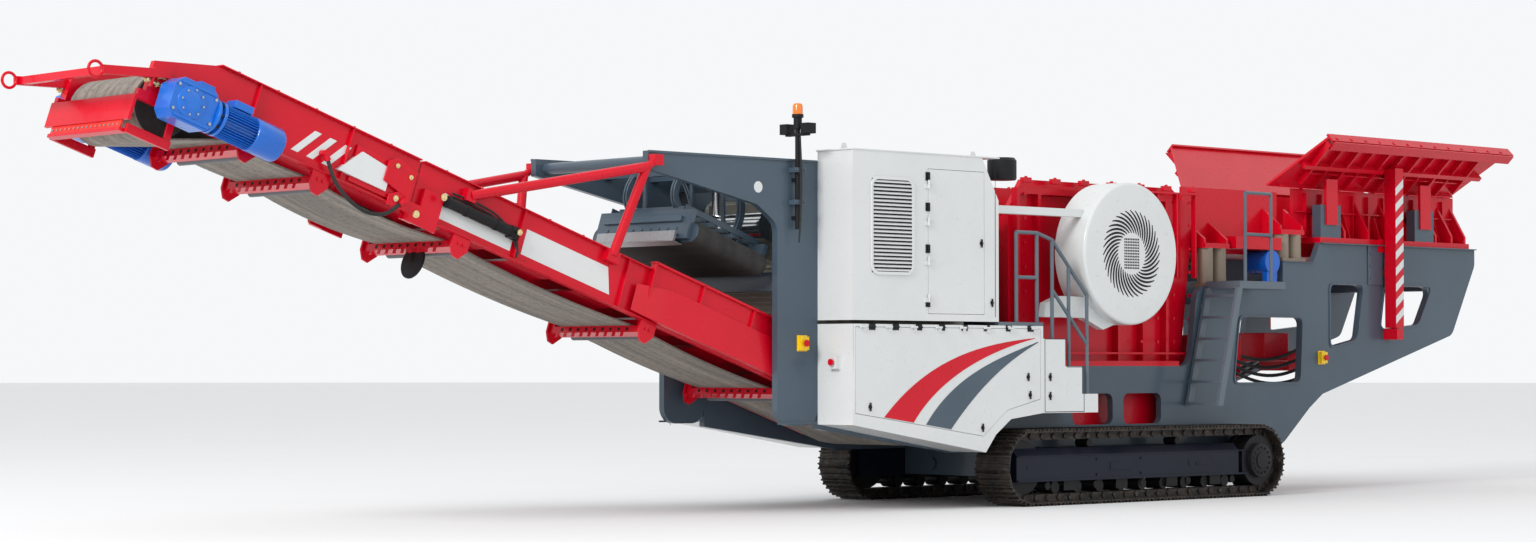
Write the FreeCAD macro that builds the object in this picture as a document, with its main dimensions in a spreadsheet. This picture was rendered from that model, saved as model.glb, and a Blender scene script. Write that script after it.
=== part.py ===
import math
import os

import FreeCAD
import Part
import Sketcher as Sketch

# Tracked jaw crusher plant, in millimetres.
# Frame: origin on the ground under the middle of the machine, +X towards the feed hopper,
# -X towards the head of the discharge conveyor, -Y the side with the engine cabinet, +Z up.

doc = FreeCAD.newDocument("jaw_crusher")
sheet = doc.addObject("Spreadsheet::Sheet", "Sizes")

SIZES = {
    # tracks
    "overall_width": 3000, "track_front": 425, "track_length": 4970, "track_height": 860,
    "shoe_width": 500, "chain_thickness": 130, "beam_bottom": 270, "beam_top": 640,
    "beam_inset": 80, "beam_bevel": 80, "roller_radius": 70, "roller_width": 240, "running_gap": 0.6,
    # chassis side plates
    "frame_outside": 940, "frame_plate": 80, "belly": 600, "mid_top": 1560, "rear_top": 3110,
    "step_one": 2520, "step_two": 2860, "rise_foot": 4285, "rise_head": 4425, "step_edge": 6105,
    "rear_slope": 6725, "rear_head": 6865, "rear_end": 10250, "rear_toe": 9725,
    "window_round": 90, "plate_round": 180,
    # portal over the conveyor
    "post_front": -2525, "post_width": 590, "post_bottom": 930, "portal_top": 3740,
    "portal_beam": 340, "cantilever_front": -4325,
    # cabinets
    "cabinet_face": 1470, "cabinet_length": 2260, "cabinet_split": 2045, "cabinet_top": 3840,
    "lower_rear": 1055, "skin_gap": 5, "door_thickness": 40, "door_margin": 80,
    "door_front": -795, "door_rear": 90, "hinge_radius": 12, "knuckle": 45,
    # deck, rails and ladder
    "tube_radius": 21, "deck_thickness": 40, "rail_height": 1000, "platform_edge": 1460,
    "platform_front": 4590, "platform_rear": 5470, "platform_thickness": 90, "tread_rise": 257, "ladder_foot": 1090,
    # crusher
    "crusher_front": 1320, "crusher_rear": 4640, "crusher_top": 3700, "crusher_outside": 700,
    "crusher_plate": 70, "shaft_x": 2560, "shaft_z": 2850, "shaft_radius": 130,
    "guard_radius": 820, "guard_depth": 480,
    # feeder and hopper
    "feeder_half_width": 600, "feeder_floor": 3000, "feeder_front": 4560, "feeder_rear": 9900,
    "sheet_steel": 40, "spring_radius": 95, "spring_spacing": 250,
    "hopper_half_width": 650, "hopper_front": 6125, "hopper_rear": 10125, "hopper_hinge": 3820,
    "wing_rise": 600, "wing_sweep": 500, "wing_thickness": 30, "wing_gap": 12,
    # discharge conveyor
    "slope": 18.6, "fold_x": -7175, "fold_z": 3000, "stringer_outside": 720, "stringer_plate": 60,
    "stringer_depth": 510, "stringer_lift": 35, "belt_width": 1100, "belt_thickness": 18,
    "carry_height": 320, "return_height": -10, "head_length": 2480, "drum_reach": 2751,
    "drum_radius": 285, "arm_tip": -10520, "flat_bottom": 740, "conveyor_rear": 4800,
    "fold_gap": 12, "lug_plate": 28,
    # overband magnet
    "magnet_x": -3070, "magnet_z": 2780, "magnet_length": 1000, "magnet_half_width": 850,
    "magnet_drum": 115,
}
for row, (alias, number) in enumerate(SIZES.items(), start=1):
    sheet.set(f"A{row}", alias)
    sheet.set(f"B{row}", str(number))
    sheet.setAlias(f"B{row}", alias)
doc.recompute()


class Size:
    """A number that remembers the sheet expression it came from."""

    def __init__(self, value, text):
        self.value = value
        self.text = text

    def join(self, other, sign, value, swap=False):
        pair = [self.text, other.text if isinstance(other, Size) else repr(other)]
        if swap:
            pair.reverse()
        return Size(value, f"({pair[0]} {sign} {pair[1]})")

    def __add__(self, other):
        return self.join(other, "+", self.value + plain(other))

    def __radd__(self, other):
        return self.join(other, "+", plain(other) + self.value, swap=True)

    def __sub__(self, other):
        return self.join(other, "-", self.value - plain(other))

    def __rsub__(self, other):
        return self.join(other, "-", plain(other) - self.value, swap=True)

    def __mul__(self, other):
        return self.join(other, "*", self.value * plain(other))

    __rmul__ = __mul__

    def __truediv__(self, other):
        return self.join(other, "/", self.value / plain(other))

    def __neg__(self):
        return Size(-self.value, f"(0 - {self.text})")


def plain(number):
    """The plain value of a size or a number."""
    return number.value if isinstance(number, Size) else number


class Sheet:
    """Gives each alias of the sheet as a size."""

    def __getattr__(self, alias):
        return Size(float(sheet.get(alias)), f"Sizes.{alias}")


S = Sheet()


def bind(thing, path, number):
    """Ties one property to the sheet, or sets it where the number is fixed."""
    if isinstance(number, Size):
        thing.setExpression(path, number.text)
    elif path.startswith("Placement.Base."):
        base = thing.Placement.Base
        setattr(base, path[-1], number)
        thing.Placement.Base = base
    else:
        setattr(thing, path, number)


def box(label, x, y, z, on=None):
    """A block between two limits on each axis, in the frame of the placement on, if one is given."""
    block = doc.addObject("Part::Box", label)
    for path, (low, high) in zip(("Length", "Width", "Height"), (x, y, z)):
        bind(block, path, high - low)
    place(block, (x[0], y[0], z[0]), on)
    return block


def place(thing, corner, on=None, turn=None):
    """Puts a primitive's own origin at a corner, turned, in the frame of the placement on."""
    spin = turn or FreeCAD.Rotation()
    if on is None:
        thing.Placement = FreeCAD.Placement(FreeCAD.Vector(*[plain(c) for c in corner]), spin)
        for path, number in zip("xyz", corner):
            if isinstance(number, Size):
                bind(thing, f"Placement.Base.{path}", number)
        return thing
    local = FreeCAD.Placement(FreeCAD.Vector(*[plain(c) for c in corner]), spin)
    thing.Placement = on.multiply(local)
    return thing


TURN = {
    "x": FreeCAD.Rotation(FreeCAD.Vector(0, 1, 0), 90),
    "y": FreeCAD.Rotation(FreeCAD.Vector(1, 0, 0), -90),
    "z": FreeCAD.Rotation(),
}


def rod(label, axis, start, radius, length, on=None):
    """A round bar that starts at a point and runs along +X, +Y or +Z."""
    bar = doc.addObject("Part::Cylinder", label)
    bind(bar, "Radius", radius)
    bind(bar, "Height", length)
    return place(bar, start, on, TURN[axis])


def tube_between(label, start, end, radius):
    """A round bar from one point to another."""
    first = FreeCAD.Vector(*[plain(c) for c in start])
    way = FreeCAD.Vector(*[plain(c) for c in end]) - first
    bar = doc.addObject("Part::Cylinder", label)
    bind(bar, "Radius", radius)
    bar.Height = way.Length
    bar.Placement = FreeCAD.Placement(first, FreeCAD.Rotation(FreeCAD.Vector(0, 0, 1), way))
    return bar


def fuse(label, pieces):
    """Welds pieces into one."""
    union = doc.addObject("Part::MultiFuse", label)
    union.Shapes = pieces
    return union


def cut(label, base, tools):
    """Takes the tools away from the base."""
    tool = tools[0] if len(tools) == 1 else fuse(label + "_tools", tools)
    result = doc.addObject("Part::Cut", label)
    result.Base = base
    result.Tool = tool
    return result


def group(label, pieces):
    """Keeps separate solids together as one sub-part."""
    compound = doc.addObject("Part::Compound", label)
    compound.Links = pieces
    return compound


def mirrored(label, source):
    """The same piece on the other side of the machine."""
    twin = doc.addObject("Part::Mirroring", label)
    twin.Source = source
    twin.Base = FreeCAD.Vector(0, 0, 0)
    twin.Normal = FreeCAD.Vector(0, 1, 0)
    return twin


def pair(label, source):
    """A piece and its mirror image as one sub-part."""
    return group(label, [source, mirrored(label + "_far", source)])


def plate(label, plane, outline, low, high, windows=(), rounds=(), on=None):
    """
    A flat plate: a sketch on one of the body's own planes, padded between two limits across it.
    rounds lists (radius, corners) for the corners to be rounded, and on is the frame it lies in.
    """
    body = doc.addObject("PartDesign::Body", label)
    sketch = body.newObject("Sketcher::SketchObject", label + "_outline")
    role = next(o for o in body.Origin.OriginFeatures if o.Role == plane + "_Plane")
    sketch.AttachmentSupport = [(role, "")]
    sketch.MapMode = "FlatFace"
    for corners in [outline, *windows]:
        draw_loop(sketch, corners)
    pad = body.newObject("PartDesign::Pad", label + "_pad")
    pad.Profile = sketch
    bind(pad, "Length", high - low)
    across = {"XZ": "y", "YZ": "x", "XY": "z"}[plane]
    bind(body, f"Placement.Base.{across}", (high if plane == "XZ" else low) if on is None else
         plain(high if plane == "XZ" else low))
    if on is not None:
        body.Placement = on.multiply(body.Placement)
    doc.recompute()
    for number, (radius, corners) in enumerate(rounds):
        base = body.Tip
        rounding = body.newObject("PartDesign::Fillet", f"{label}_round{number}")
        rounding.Base = (base, edges_at(base.Shape, plane, corners))
        bind(rounding, "Radius", radius)
        doc.recompute()
    return body


def draw_loop(sketch, corners):
    """Draws a closed loop of lines whose corners are tied to the sheet."""
    first = sketch.GeometryCount
    spots = [FreeCAD.Vector(plain(a), plain(b), 0) for a, b in corners]
    sketch.addGeometry([Part.LineSegment(p, q) for p, q in zip(spots, spots[1:] + spots[:1])])
    for index, (a, b) in enumerate(corners):
        line = first + index
        before = first + (index - 1) % len(corners)
        sketch.addConstraint(Sketch.Constraint("Coincident", before, 2, line, 1))
        for kind, number in (("DistanceX", a), ("DistanceY", b)):
            added = sketch.addConstraint(Sketch.Constraint(kind, -1, 1, line, 1, plain(number)))
            if isinstance(number, Size):
                sketch.setExpression(f"Constraints[{added}]", number.text)


def edges_at(shape, plane, corners):
    """Names the edges that stand on the given corners of a plate."""
    axes = {"XZ": (0, 2), "YZ": (1, 2), "XY": (0, 1)}[plane]
    names = []
    for number, edge in enumerate(shape.Edges, start=1):
        ends = [vertex.Point for vertex in edge.Vertexes]
        if len(ends) != 2 or any(abs(ends[0][a] - ends[1][a]) > 0.01 for a in axes):
            continue
        spot = [ends[0][a] for a in axes]
        if any(math.dist(spot, (plain(a), plain(b))) < 0.5 for a, b in corners):
            names.append(f"Edge{number}")
    return names


NODES = []


def keep(piece):
    """Marks a piece as a sub-part of the machine."""
    NODES.append(piece)
    return piece


# ---------------------------------------------------------------- tracks
half_width = S.overall_width / 2
track_inside = half_width - S.shoe_width
wheel_radius = S.track_height / 2
front_axle = S.track_front + wheel_radius
rear_axle = S.track_front + S.track_length - wheel_radius
chain_inside = wheel_radius - S.chain_thickness
beam_inside = track_inside + S.beam_inset / 2
beam_outside = half_width - S.beam_inset


def oval(label, radius, low, high):
    """A long round-ended block about the two axles."""
    return fuse(label, [
        box(label + "_middle", (front_axle, rear_axle), (low, high), (wheel_radius - radius, wheel_radius + radius)),
        rod(label + "_front", "y", (front_axle, low, wheel_radius), radius, high - low),
        rod(label + "_rear", "y", (rear_axle, low, wheel_radius), radius, high - low),
    ])


def track_chain(label):
    """The closed band of chain and shoes round both wheels."""
    outer = oval(label + "_outer", wheel_radius, -half_width, -track_inside)
    inner = oval(label + "_inner", chain_inside, -half_width - 10, -track_inside + 10)
    return cut(label, outer, [inner])


chain_near = keep(track_chain("track_chain_near"))
keep(mirrored("track_chain_far", chain_near))

beam_front = S.track_front + 240
beam_rear = rear_axle - chain_inside - 70
idler_slot = (beam_inside + 80, beam_outside - 80)


def track_beam():
    """The beam inside one track, slotted for the front wheel, with the rear wheel's carrier."""
    beam = plate("beam_profile", "YZ", [
        (-beam_inside, S.beam_bottom), (-beam_outside, S.beam_bottom),
        (-beam_outside, S.beam_top - S.beam_bevel), (-beam_outside + S.beam_bevel, S.beam_top),
        (-beam_inside, S.beam_top)], beam_front, beam_rear)
    carrier = box("rear_carrier", (beam_rear - 200, rear_axle + 200), (-idler_slot[0], -beam_inside),
                  (S.beam_bottom, S.beam_top))
    slot = box("front_slot", (S.track_front, front_axle + chain_inside + 20),
               (-idler_slot[1], -idler_slot[0]), (0, S.track_height))
    return cut("track_beam", fuse("beam_and_carrier", [beam, carrier]), [slot])


keep(pair("track_beams", track_beam()))


def track_wheels():
    """Front wheel, rear driving wheel, lower rollers and top carriers of one track."""
    edge = chain_inside - S.running_gap
    front = rod("front_wheel", "y", (front_axle, -idler_slot[1], wheel_radius), edge,
                idler_slot[1] - idler_slot[0])
    rear = fuse("drive_wheel", [
        rod("drive_rim", "y", (rear_axle, -beam_outside, wheel_radius), edge, beam_outside - idler_slot[0]),
        rod("hub_cap", "y", (rear_axle, -half_width + 20, wheel_radius), 200, S.beam_inset)])
    wheels = [front, rear]
    middle = -(beam_inside + beam_outside) / 2 - S.roller_width / 2
    count = 9
    for number in range(count):
        reach = (beam_rear - beam_front - 900) / (count - 1)
        wheels.append(rod(f"lower_roller{number}", "y", (
            beam_front + 720 + reach * number, middle, S.chain_thickness + S.roller_radius),
            S.roller_radius, S.roller_width))
    carrier_radius = (S.track_height - S.chain_thickness - S.beam_top) / 2 - S.running_gap / 2
    for number, share in enumerate((0.35, 0.75)):
        wheels.append(rod(f"top_carrier{number}", "y", (
            beam_front + (beam_rear - beam_front) * share, middle + 60, S.beam_top + carrier_radius),
            carrier_radius, S.roller_width - 60))
    return wheels


near_wheels = track_wheels()
keep(group("track_wheels", near_wheels + [mirrored(w.Label + "_far", w) for w in near_wheels]))

cross_tubes = []
for number, station in enumerate((S.track_front + 1000, rear_axle - 1450)):
    tube = box(f"cross_tube{number}", (station, station + 420), (-beam_inside, beam_inside), (290, S.belly))
    bosses = [rod(f"boss{number}{side}", "x", (station - 40, side * 600, 420), 75, 500) for side in (-1, 1)]
    cross_tubes.append(fuse(f"cross_piece{number}", [tube, *bosses]))
spine = box("cross_spine", (S.track_front + 1420, rear_axle - 1450), (-300, 300), (330, S.belly - 20))
keep(fuse("cross_frame", [*cross_tubes, spine]))

# ---------------------------------------------------------------- chassis
plate_inside = S.frame_outside - S.frame_plate
post_rear = S.post_front + S.post_width
portal_under = S.portal_top - S.portal_beam
portal_rear = post_rear + S.cabinet_length - 200


def portal():
    """The front post with the beam over it that reaches forward over the conveyor."""
    inner = (S.post_front, S.portal_top - 690)
    throat = (S.post_front - 290, S.portal_top - 490)
    foot_front = (S.post_front, S.post_bottom)
    foot_rear = (post_rear, S.post_bottom)
    knee = (post_rear, portal_under)
    return plate("portal_near", "XZ", [
        (S.cantilever_front, S.portal_top), (portal_rear, S.portal_top), (portal_rear, portal_under),
        knee, foot_rear, foot_front, inner, throat,
        (S.cantilever_front + 90, S.portal_top - 200), (S.cantilever_front, S.portal_top - 180)],
        -S.frame_outside, -plate_inside,
        rounds=[(S.plate_round, [foot_front, foot_rear]), (S.plate_round, [inner, throat, knee])])


portal_near = keep(portal())
keep(mirrored("portal_far", portal_near))


def window(corners):
    """One window in the side plate, and its corners for rounding."""
    return [(x if isinstance(x, Size) else float(x), float(z)) for x, z in corners]


def main_beam():
    """The side plate from the portal's post to the rear, with its windows and the feeder's steps."""
    start = post_rear + S.running_gap
    toe = (S.rear_toe, S.mid_top + 410)
    outline = [
        (start, S.mid_top), (S.rise_foot, S.mid_top), (S.rise_head, S.step_one),
        (S.step_edge, S.step_one), (S.step_edge, S.step_two), (S.rear_slope, S.step_two),
        (S.rear_head, S.rear_top), (S.rear_end, S.rear_top), (S.rear_end, S.rear_top - 220), toe,
        (S.rear_toe - 2820, S.mid_top - 350), (S.rear_toe - 3090, S.belly + 440),
        (S.rear_toe - 3640, S.belly), (post_rear + 2060, S.belly), (start, S.post_bottom - 40)]
    windows = [
        window([(2150, 1240), (2860, 1240), (2860, 880), (2150, 880)]),
        window([(3050, 1240), (3740, 1240), (3740, 880), (3050, 880)]),
        window([(5245, 2160), (6485, 2160), (6435, 1360), (5125, 1360)]),
        window([(7065, 2590), (7765, 2590), (7625, 1900), (7065, 1800)]),
        window([(8235, 2590), (9255, 2590), (8955, 2100), (8125, 2030)]),
    ]
    corners = [corner for loop in windows for corner in loop]
    outer = [outline[1], outline[2], toe, outline[8], outline[11], outline[12]]
    return plate("main_beam_near", "XZ", outline, -S.frame_outside, -plate_inside, windows,
                 rounds=[(S.window_round, corners), (S.plate_round, outer)])


beam_near = keep(main_beam())
keep(mirrored("main_beam_far", beam_near))

between = (-plate_inside, plate_inside)
engine_floor = S.cabinet_split - 60
keep(group("cross_members", [
    rod("tip_tie", "y", (S.cantilever_front + 150, between[0], S.portal_top - 100), 60, plate_inside * 2),
    box("portal_tie", (S.post_front + 120, S.post_front + 420), between, (portal_under + 60, S.portal_top - 40)),
    box("post_tie", (S.post_front + 100, S.post_front + 300), between, (2350, 2550)),
    box("engine_deck", (post_rear, 1100), between, (engine_floor - 80, engine_floor)),
    box("crusher_tie_front", (1250, 1500), between, (S.mid_top - 240, S.mid_top - 40)),
    box("crusher_tie_rear", (4150, 4400), between, (S.mid_top - 240, S.mid_top - 40)),
    box("feeder_tie", (6150, 6400), between, (2350, 2640)),
    box("rear_tie", (9500, 9760), between, (2550, 2850)),
]))

# ---------------------------------------------------------------- cabinets
cabinet_front = post_rear
cabinet_rear = cabinet_front + S.cabinet_length
cabinet_sides = (-S.cabinet_face, -S.frame_outside)
door_skin = (-S.cabinet_face, -S.cabinet_face + S.door_thickness)
recess = (-S.cabinet_face - 10, -S.cabinet_face + S.door_thickness + S.skin_gap)


def upper_box(label):
    """The tall upper cabinet, with its sloping rear top corner."""
    return plate(label, "XZ", [
        (cabinet_front, S.cabinet_split), (cabinet_front, S.cabinet_top),
        (cabinet_rear - 265, S.cabinet_top), (cabinet_rear, S.cabinet_top - 460),
        (cabinet_rear, S.cabinet_split)], *cabinet_sides)


def lower_box(label):
    """The lower cabinet, arched over the track, with its three steps."""
    step_top = S.cabinet_split - S.deck_thickness
    return plate(label, "XZ", [
        (cabinet_front, step_top), (S.lower_rear, step_top),
        (S.lower_rear, step_top - 140), (S.lower_rear + 370, step_top - 140),
        (S.lower_rear + 370, step_top - 450), (S.lower_rear + 655, step_top - 450),
        (S.lower_rear + 655, step_top - 760), (S.lower_rear + 930, step_top - 760),
        (S.lower_rear + 930, step_top - 970), (S.lower_rear - 10, step_top - 970),
        (S.track_front + 100, step_top - 1030), (S.track_front - 150, step_top - 1200),
        (S.track_front - 310, step_top - 1390), (cabinet_front, S.post_bottom + 10)], *cabinet_sides)


def knuckles(label, axis, along, spots, offset, skin_low, skin_high, across):
    """
    Hinge knuckles on one side of a hinge line. spots are where each starts along the line; the
    leaf reaches from the line onto the skin between the two limits across it.
    """
    made = []
    line_y = -S.cabinet_face - S.skin_gap - S.hinge_radius
    for number, spot in enumerate(spots):
        start = spot + offset
        if axis == "z":
            made.append(rod(f"{label}{number}", "z", (across, line_y, start), S.hinge_radius, along))
            made.append(box(f"{label}_leaf{number}", (across + skin_low, across + skin_high),
                            (line_y + 4, -S.cabinet_face), (start, start + along)))
        else:
            made.append(rod(f"{label}{number}", "x", (start, line_y, across), S.hinge_radius, along))
            made.append(box(f"{label}_leaf{number}", (start, start + along),
                            (line_y + 4, -S.cabinet_face), (across + skin_low, across + skin_high)))
    return made


door_low = S.cabinet_split + S.door_margin
door_high = S.cabinet_top - 2 * S.door_margin
door_hinge_x = S.door_front
door_spots = [door_low + 120, door_low + 520, door_high - 610, door_high - 210]
second_knuckle = S.knuckle + S.running_gap
door_recess = box("door_recess", (S.door_front, S.door_rear + S.skin_gap), recess,
                  (door_low - S.skin_gap, door_high + S.skin_gap))
keep(fuse("engine_cabinet", [
    cut("upper_shell", upper_box("upper_box"), [door_recess]),
    *knuckles("cabinet_knuckle", "z", S.knuckle, door_spots, 0, -60, -6, door_hinge_x)]))
door_panel = box("door_panel", (S.door_front + S.skin_gap, S.door_rear), door_skin, (door_low, door_high))
keep(fuse("engine_door", [
    door_panel,
    *knuckles("door_knuckle", "z", S.knuckle, door_spots, second_knuckle, 6, 60, door_hinge_x)]))

flap_line = S.cabinet_split - S.deck_thickness - 30
flap_front = cabinet_front + 40
flap_rear = S.lower_rear - 50


def flap_outline(margin):
    """The flap's outline, grown by a margin for the opening it closes."""
    return [
        (flap_front - margin, flap_line - S.skin_gap + margin),
        (flap_rear + margin, flap_line - S.skin_gap + margin),
        (flap_rear + margin, flap_line - 780 - margin), (S.track_front + 40, flap_line - 900 - margin),
        (S.track_front - 350, flap_line - 1180 - margin), (flap_front - margin, flap_line - 910 - margin)]


flap_spots = [flap_front + 60 + (flap_rear - flap_front - 220) * share / 7 for share in range(8)]
flap_recess = plate("flap_recess", "XZ", flap_outline(S.skin_gap), *recess)
keep(fuse("pump_cabinet", [
    cut("lower_shell", lower_box("lower_box"), [flap_recess]),
    *knuckles("box_knuckle", "x", S.knuckle, flap_spots, 0, 6, 28, flap_line)]))
flap_panel = plate("flap_panel", "XZ", flap_outline(0), *door_skin)
keep(fuse("pump_flap", [
    flap_panel,
    *knuckles("flap_knuckle", "x", S.knuckle, flap_spots, second_knuckle, -50, -6, flap_line)]))

far_lower = lower_box("far_lower_box")
far_upper = upper_box("far_upper_box")
keep(mirrored("far_cabinet", fuse("far_cabinet_shell", [far_upper, far_lower, box(
    "far_cabinet_joint", (cabinet_front, cabinet_rear), cabinet_sides,
    (S.cabinet_split - S.deck_thickness - 5, S.cabinet_split + 5))])))

keep(box("engine_housing", (post_rear + 60, 1000), (-plate_inside + 10, plate_inside - 10),
         (engine_floor, 3330)))
silencer_x = S.post_front + 270
keep(fuse("silencer", [
    rod("silencer_can", "y", (silencer_x, -520, 3050), 150, 1040),
    rod("silencer_tail", "z", (silencer_x, 300, 3050), 55, portal_under + 60 - 3050),
    rod("silencer_stub", "x", (silencer_x, -200, 3050), 70, post_rear + 60 - silencer_x)]))

# ---------------------------------------------------------------- walkways
deck_top = S.cabinet_split


def railing(label, posts, rails):
    """Round posts standing on the deck, welded to round rails."""
    pieces = [rod(f"{label}_post{n}", "z", spot, S.tube_radius, height) for n, (spot, height) in enumerate(posts)]
    pieces += [tube_between(f"{label}_rail{n}", a, b, S.tube_radius) for n, (a, b) in enumerate(rails)]
    return pieces


def walkway():
    """The deck behind the tall cabinet, its railing, and the handrail down the steps of the lower cabinet."""
    deck = box("walkway_deck", (cabinet_rear, S.lower_rear), cabinet_sides,
               (deck_top - S.deck_thickness, deck_top))
    rail_y = -S.cabinet_face + 40
    left, right = cabinet_rear + 330, S.lower_rear - 60
    top, middle = S.rail_height + deck_top, deck_top + 500
    posts = [((x, rail_y, deck_top), S.rail_height) for x in (left, right)]
    rails = [((left, rail_y, top), (right, rail_y, top)), ((left, rail_y, middle), (right, rail_y, middle))]
    steps = [(1250, 1865, 2973), (1530, 1555, 2665), (1840, 1245, 2365)]
    stair_posts = [((x, rail_y, foot), head - foot) for x, foot, head in steps]
    stair_rails = [((steps[0][0], rail_y, steps[0][2] - drop), (steps[-1][0], rail_y, steps[-1][2] - drop))
                   for drop in (0, 560)]
    stair_rails.append(((right, rail_y, top), (steps[0][0], rail_y, steps[0][2])))
    return deck, fuse("deck_rail", [*railing("walkway", posts, rails), *railing("stair", stair_posts, stair_rails)])


deck_near, deck_rail = walkway()

# ---------------------------------------------------------------- crusher
crusher_inside = S.crusher_outside - S.crusher_plate


def crusher_side():
    """One side plate of the crusher's frame, with its ribs and its feet on the chassis."""
    low = S.mid_top
    side = plate("crusher_side_plate", "XZ", [
        (S.crusher_front, low), (S.crusher_front, S.crusher_top - 350),
        (S.crusher_front + 250, S.crusher_top), (S.crusher_rear - 400, S.crusher_top),
        (S.crusher_rear, S.crusher_top - 300), (S.crusher_rear - 250, low + 40),
        (S.crusher_rear - 500, low)], -S.crusher_outside, -crusher_inside)
    ribs = []
    for number, x in enumerate((S.crusher_front + 60, S.crusher_front + 420, S.crusher_rear - 1500,
                                S.crusher_rear - 1050, S.crusher_rear - 620)):
        ribs.append(box(f"crusher_rib{number}", (x, x + 50), (-S.crusher_outside - 90, -S.crusher_outside),
                        (low, S.crusher_top - 120)))
    foot = box("crusher_foot", (S.crusher_front + 20, S.crusher_rear - 560),
               (-S.frame_outside, -crusher_inside), (low, low + 60))
    band = box("crusher_band", (S.crusher_front + 60, S.crusher_rear - 570),
               (-S.crusher_outside - 90, -S.crusher_outside), (S.crusher_top - 170, S.crusher_top - 100))
    return fuse("crusher_side", [side, *ribs, foot, band])


keep(pair("crusher_sides", crusher_side()))

jaw_sides = (-crusher_inside, crusher_inside)
fixed_jaw = plate("fixed_jaw", "XZ", [
    (S.crusher_rear - 420, S.crusher_top - 60), (S.crusher_rear - 120, S.crusher_top - 260),
    (S.crusher_rear - 950, S.mid_top + 70), (S.crusher_rear - 1250, S.mid_top + 70)], *jaw_sides)
swing_jaw = plate("swing_jaw_plate", "XZ", [
    (S.shaft_x + 240, S.shaft_z + 500), (S.shaft_x + 420, S.shaft_z + 420),
    (S.shaft_x + 640, S.mid_top + 90), (S.shaft_x + 300, S.mid_top + 90), (S.shaft_x + 60, S.shaft_z - 100)],
    *jaw_sides)
jaw_bearing = rod("jaw_bearing", "y", (S.shaft_x, -crusher_inside, S.shaft_z), 400, crusher_inside * 2)
front_beam = box("crusher_front_beam", (S.crusher_front + 80, S.crusher_front + 300), jaw_sides,
                 (S.mid_top + 120, S.crusher_top - 420))
keep(group("crusher_jaws", [fixed_jaw, fuse("swing_jaw", [swing_jaw, jaw_bearing]), front_beam]))

guard_inside = half_width - S.guard_depth


def flywheel_guard(label):
    """The round guard over a flywheel, with the shaft end and the bearing cap behind it."""
    return [
        rod(label + "_drum", "y", (S.shaft_x, -half_width, S.shaft_z), S.guard_radius, S.guard_depth),
        rod(label + "_cap", "y", (S.shaft_x, -guard_inside - 10, S.shaft_z), 300,
            guard_inside - S.crusher_outside + 10)]


brace_z = S.cabinet_top - 590
brace = box("guard_brace", (cabinet_rear, S.shaft_x - 500), (-1350, -1260), (brace_z, brace_z + 90))
belt_guard = plate("belt_guard", "XZ", [
    (S.shaft_x - 1320, S.shaft_z - 740), (S.shaft_x - 1295, S.shaft_z - 580), (S.shaft_x - 1070, S.shaft_z - 500),
    (S.shaft_x - 610, S.shaft_z - 500), (S.shaft_x - 230, S.shaft_z - 670), (S.shaft_x - 110, S.shaft_z - 815),
    (S.shaft_x - 315, S.shaft_z - 875), (S.shaft_x - 660, S.shaft_z - 745)], -1330, -1230)
keep(group("flywheel_guards", [
    fuse("guard_near", [*flywheel_guard("near_guard"), brace, belt_guard]),
    mirrored("guard_far", fuse("far_guard_parts", flywheel_guard("far_guard")))]))

# ---------------------------------------------------------------- feeder
trough_inside = S.feeder_half_width - S.sheet_steel
floor_under = S.feeder_floor - 60


def feeder_trough():
    """The vibrating feeder: floor, side walls with gussets, and ears that stand on the springs."""
    pieces = [box("feeder_floor", (S.feeder_front, S.feeder_rear), (-S.feeder_half_width, S.feeder_half_width),
                  (floor_under, S.feeder_floor))]
    for side in (-1, 1):
        name = "near" if side < 0 else "far"

        def across(low, high, side=side):
            return (low, high) if side > 0 else (-high, -low)

        pieces.append(box(f"feeder_wall_{name}", (S.feeder_front, S.hopper_front + 300),
                          across(trough_inside, S.feeder_half_width), (floor_under, S.hopper_hinge - 80)))
        pieces.append(box(f"feeder_low_wall_{name}", (S.hopper_front + 250, S.feeder_rear),
                          across(trough_inside, S.feeder_half_width), (floor_under, S.feeder_floor + 140)))
        for number, (x, z) in enumerate(((4630, spring_top_one), (6125, spring_top_two))):
            pieces.append(box(f"feeder_ear_{name}{number}", (x, x + 470), across(S.feeder_half_width, 900),
                              (z, z + 60)))
            for edge in (0, 430):
                inner, outer = (side * plain(reach) for reach in (S.feeder_half_width, 880))
                pieces.append(plate(f"feeder_gusset_{name}{number}{edge}", "YZ", [
                    (inner, z + 55), (outer, z + 55), (outer, z + 110), (inner, z + 330)],
                    x + edge, x + edge + 40))
    pieces.append(box("motor_cover", (5180, 6080), (-S.frame_outside, -S.feeder_half_width),
                      (motor_z + 150, motor_z + 300)))
    return fuse("feeder_trough", pieces)


spring_base = 40
motor_z = S.step_one + 325
spring_top_one = S.step_one + spring_base + 430
spring_top_two = S.step_two + spring_base + 300
keep(feeder_trough())


def spring_unit(label, x, low, high, side):
    """Two upright springs side by side on one base plate."""
    middle = side * (S.frame_outside - 130)
    base = box(label + "_base", (x, x + 470), (middle - 110, middle + 110), (low, low + spring_base))
    springs = [rod(f"{label}_spring{n}", "z", (x + 110 + S.spring_spacing * n, middle, low + spring_base - 5),
                   S.spring_radius, high - low - spring_base + 5) for n in (0, 1)]
    return fuse(label, [base, *springs])


keep(group("feeder_springs", [
    spring_unit(f"spring_{'near' if side < 0 else 'far'}{number}", x, low, high, side)
    for side in (-1, 1)
    for number, (x, low, high) in enumerate((
        (4630, S.step_one, spring_top_one), (6125, S.step_two, spring_top_two)))]))

motor = rod("vibrator_motor", "y", (5890, -S.frame_outside - 5, motor_z), 145, 330)
keep(fuse("vibrator", [motor, box(
    "motor_foot", (5790, 5990), (-S.frame_outside + 5, -S.frame_outside + 75), (S.step_one, motor_z - 120))]))

# ---------------------------------------------------------------- hopper
wall_outside = S.hopper_half_width + S.sheet_steel
wall_foot = S.rear_top + 60


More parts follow.
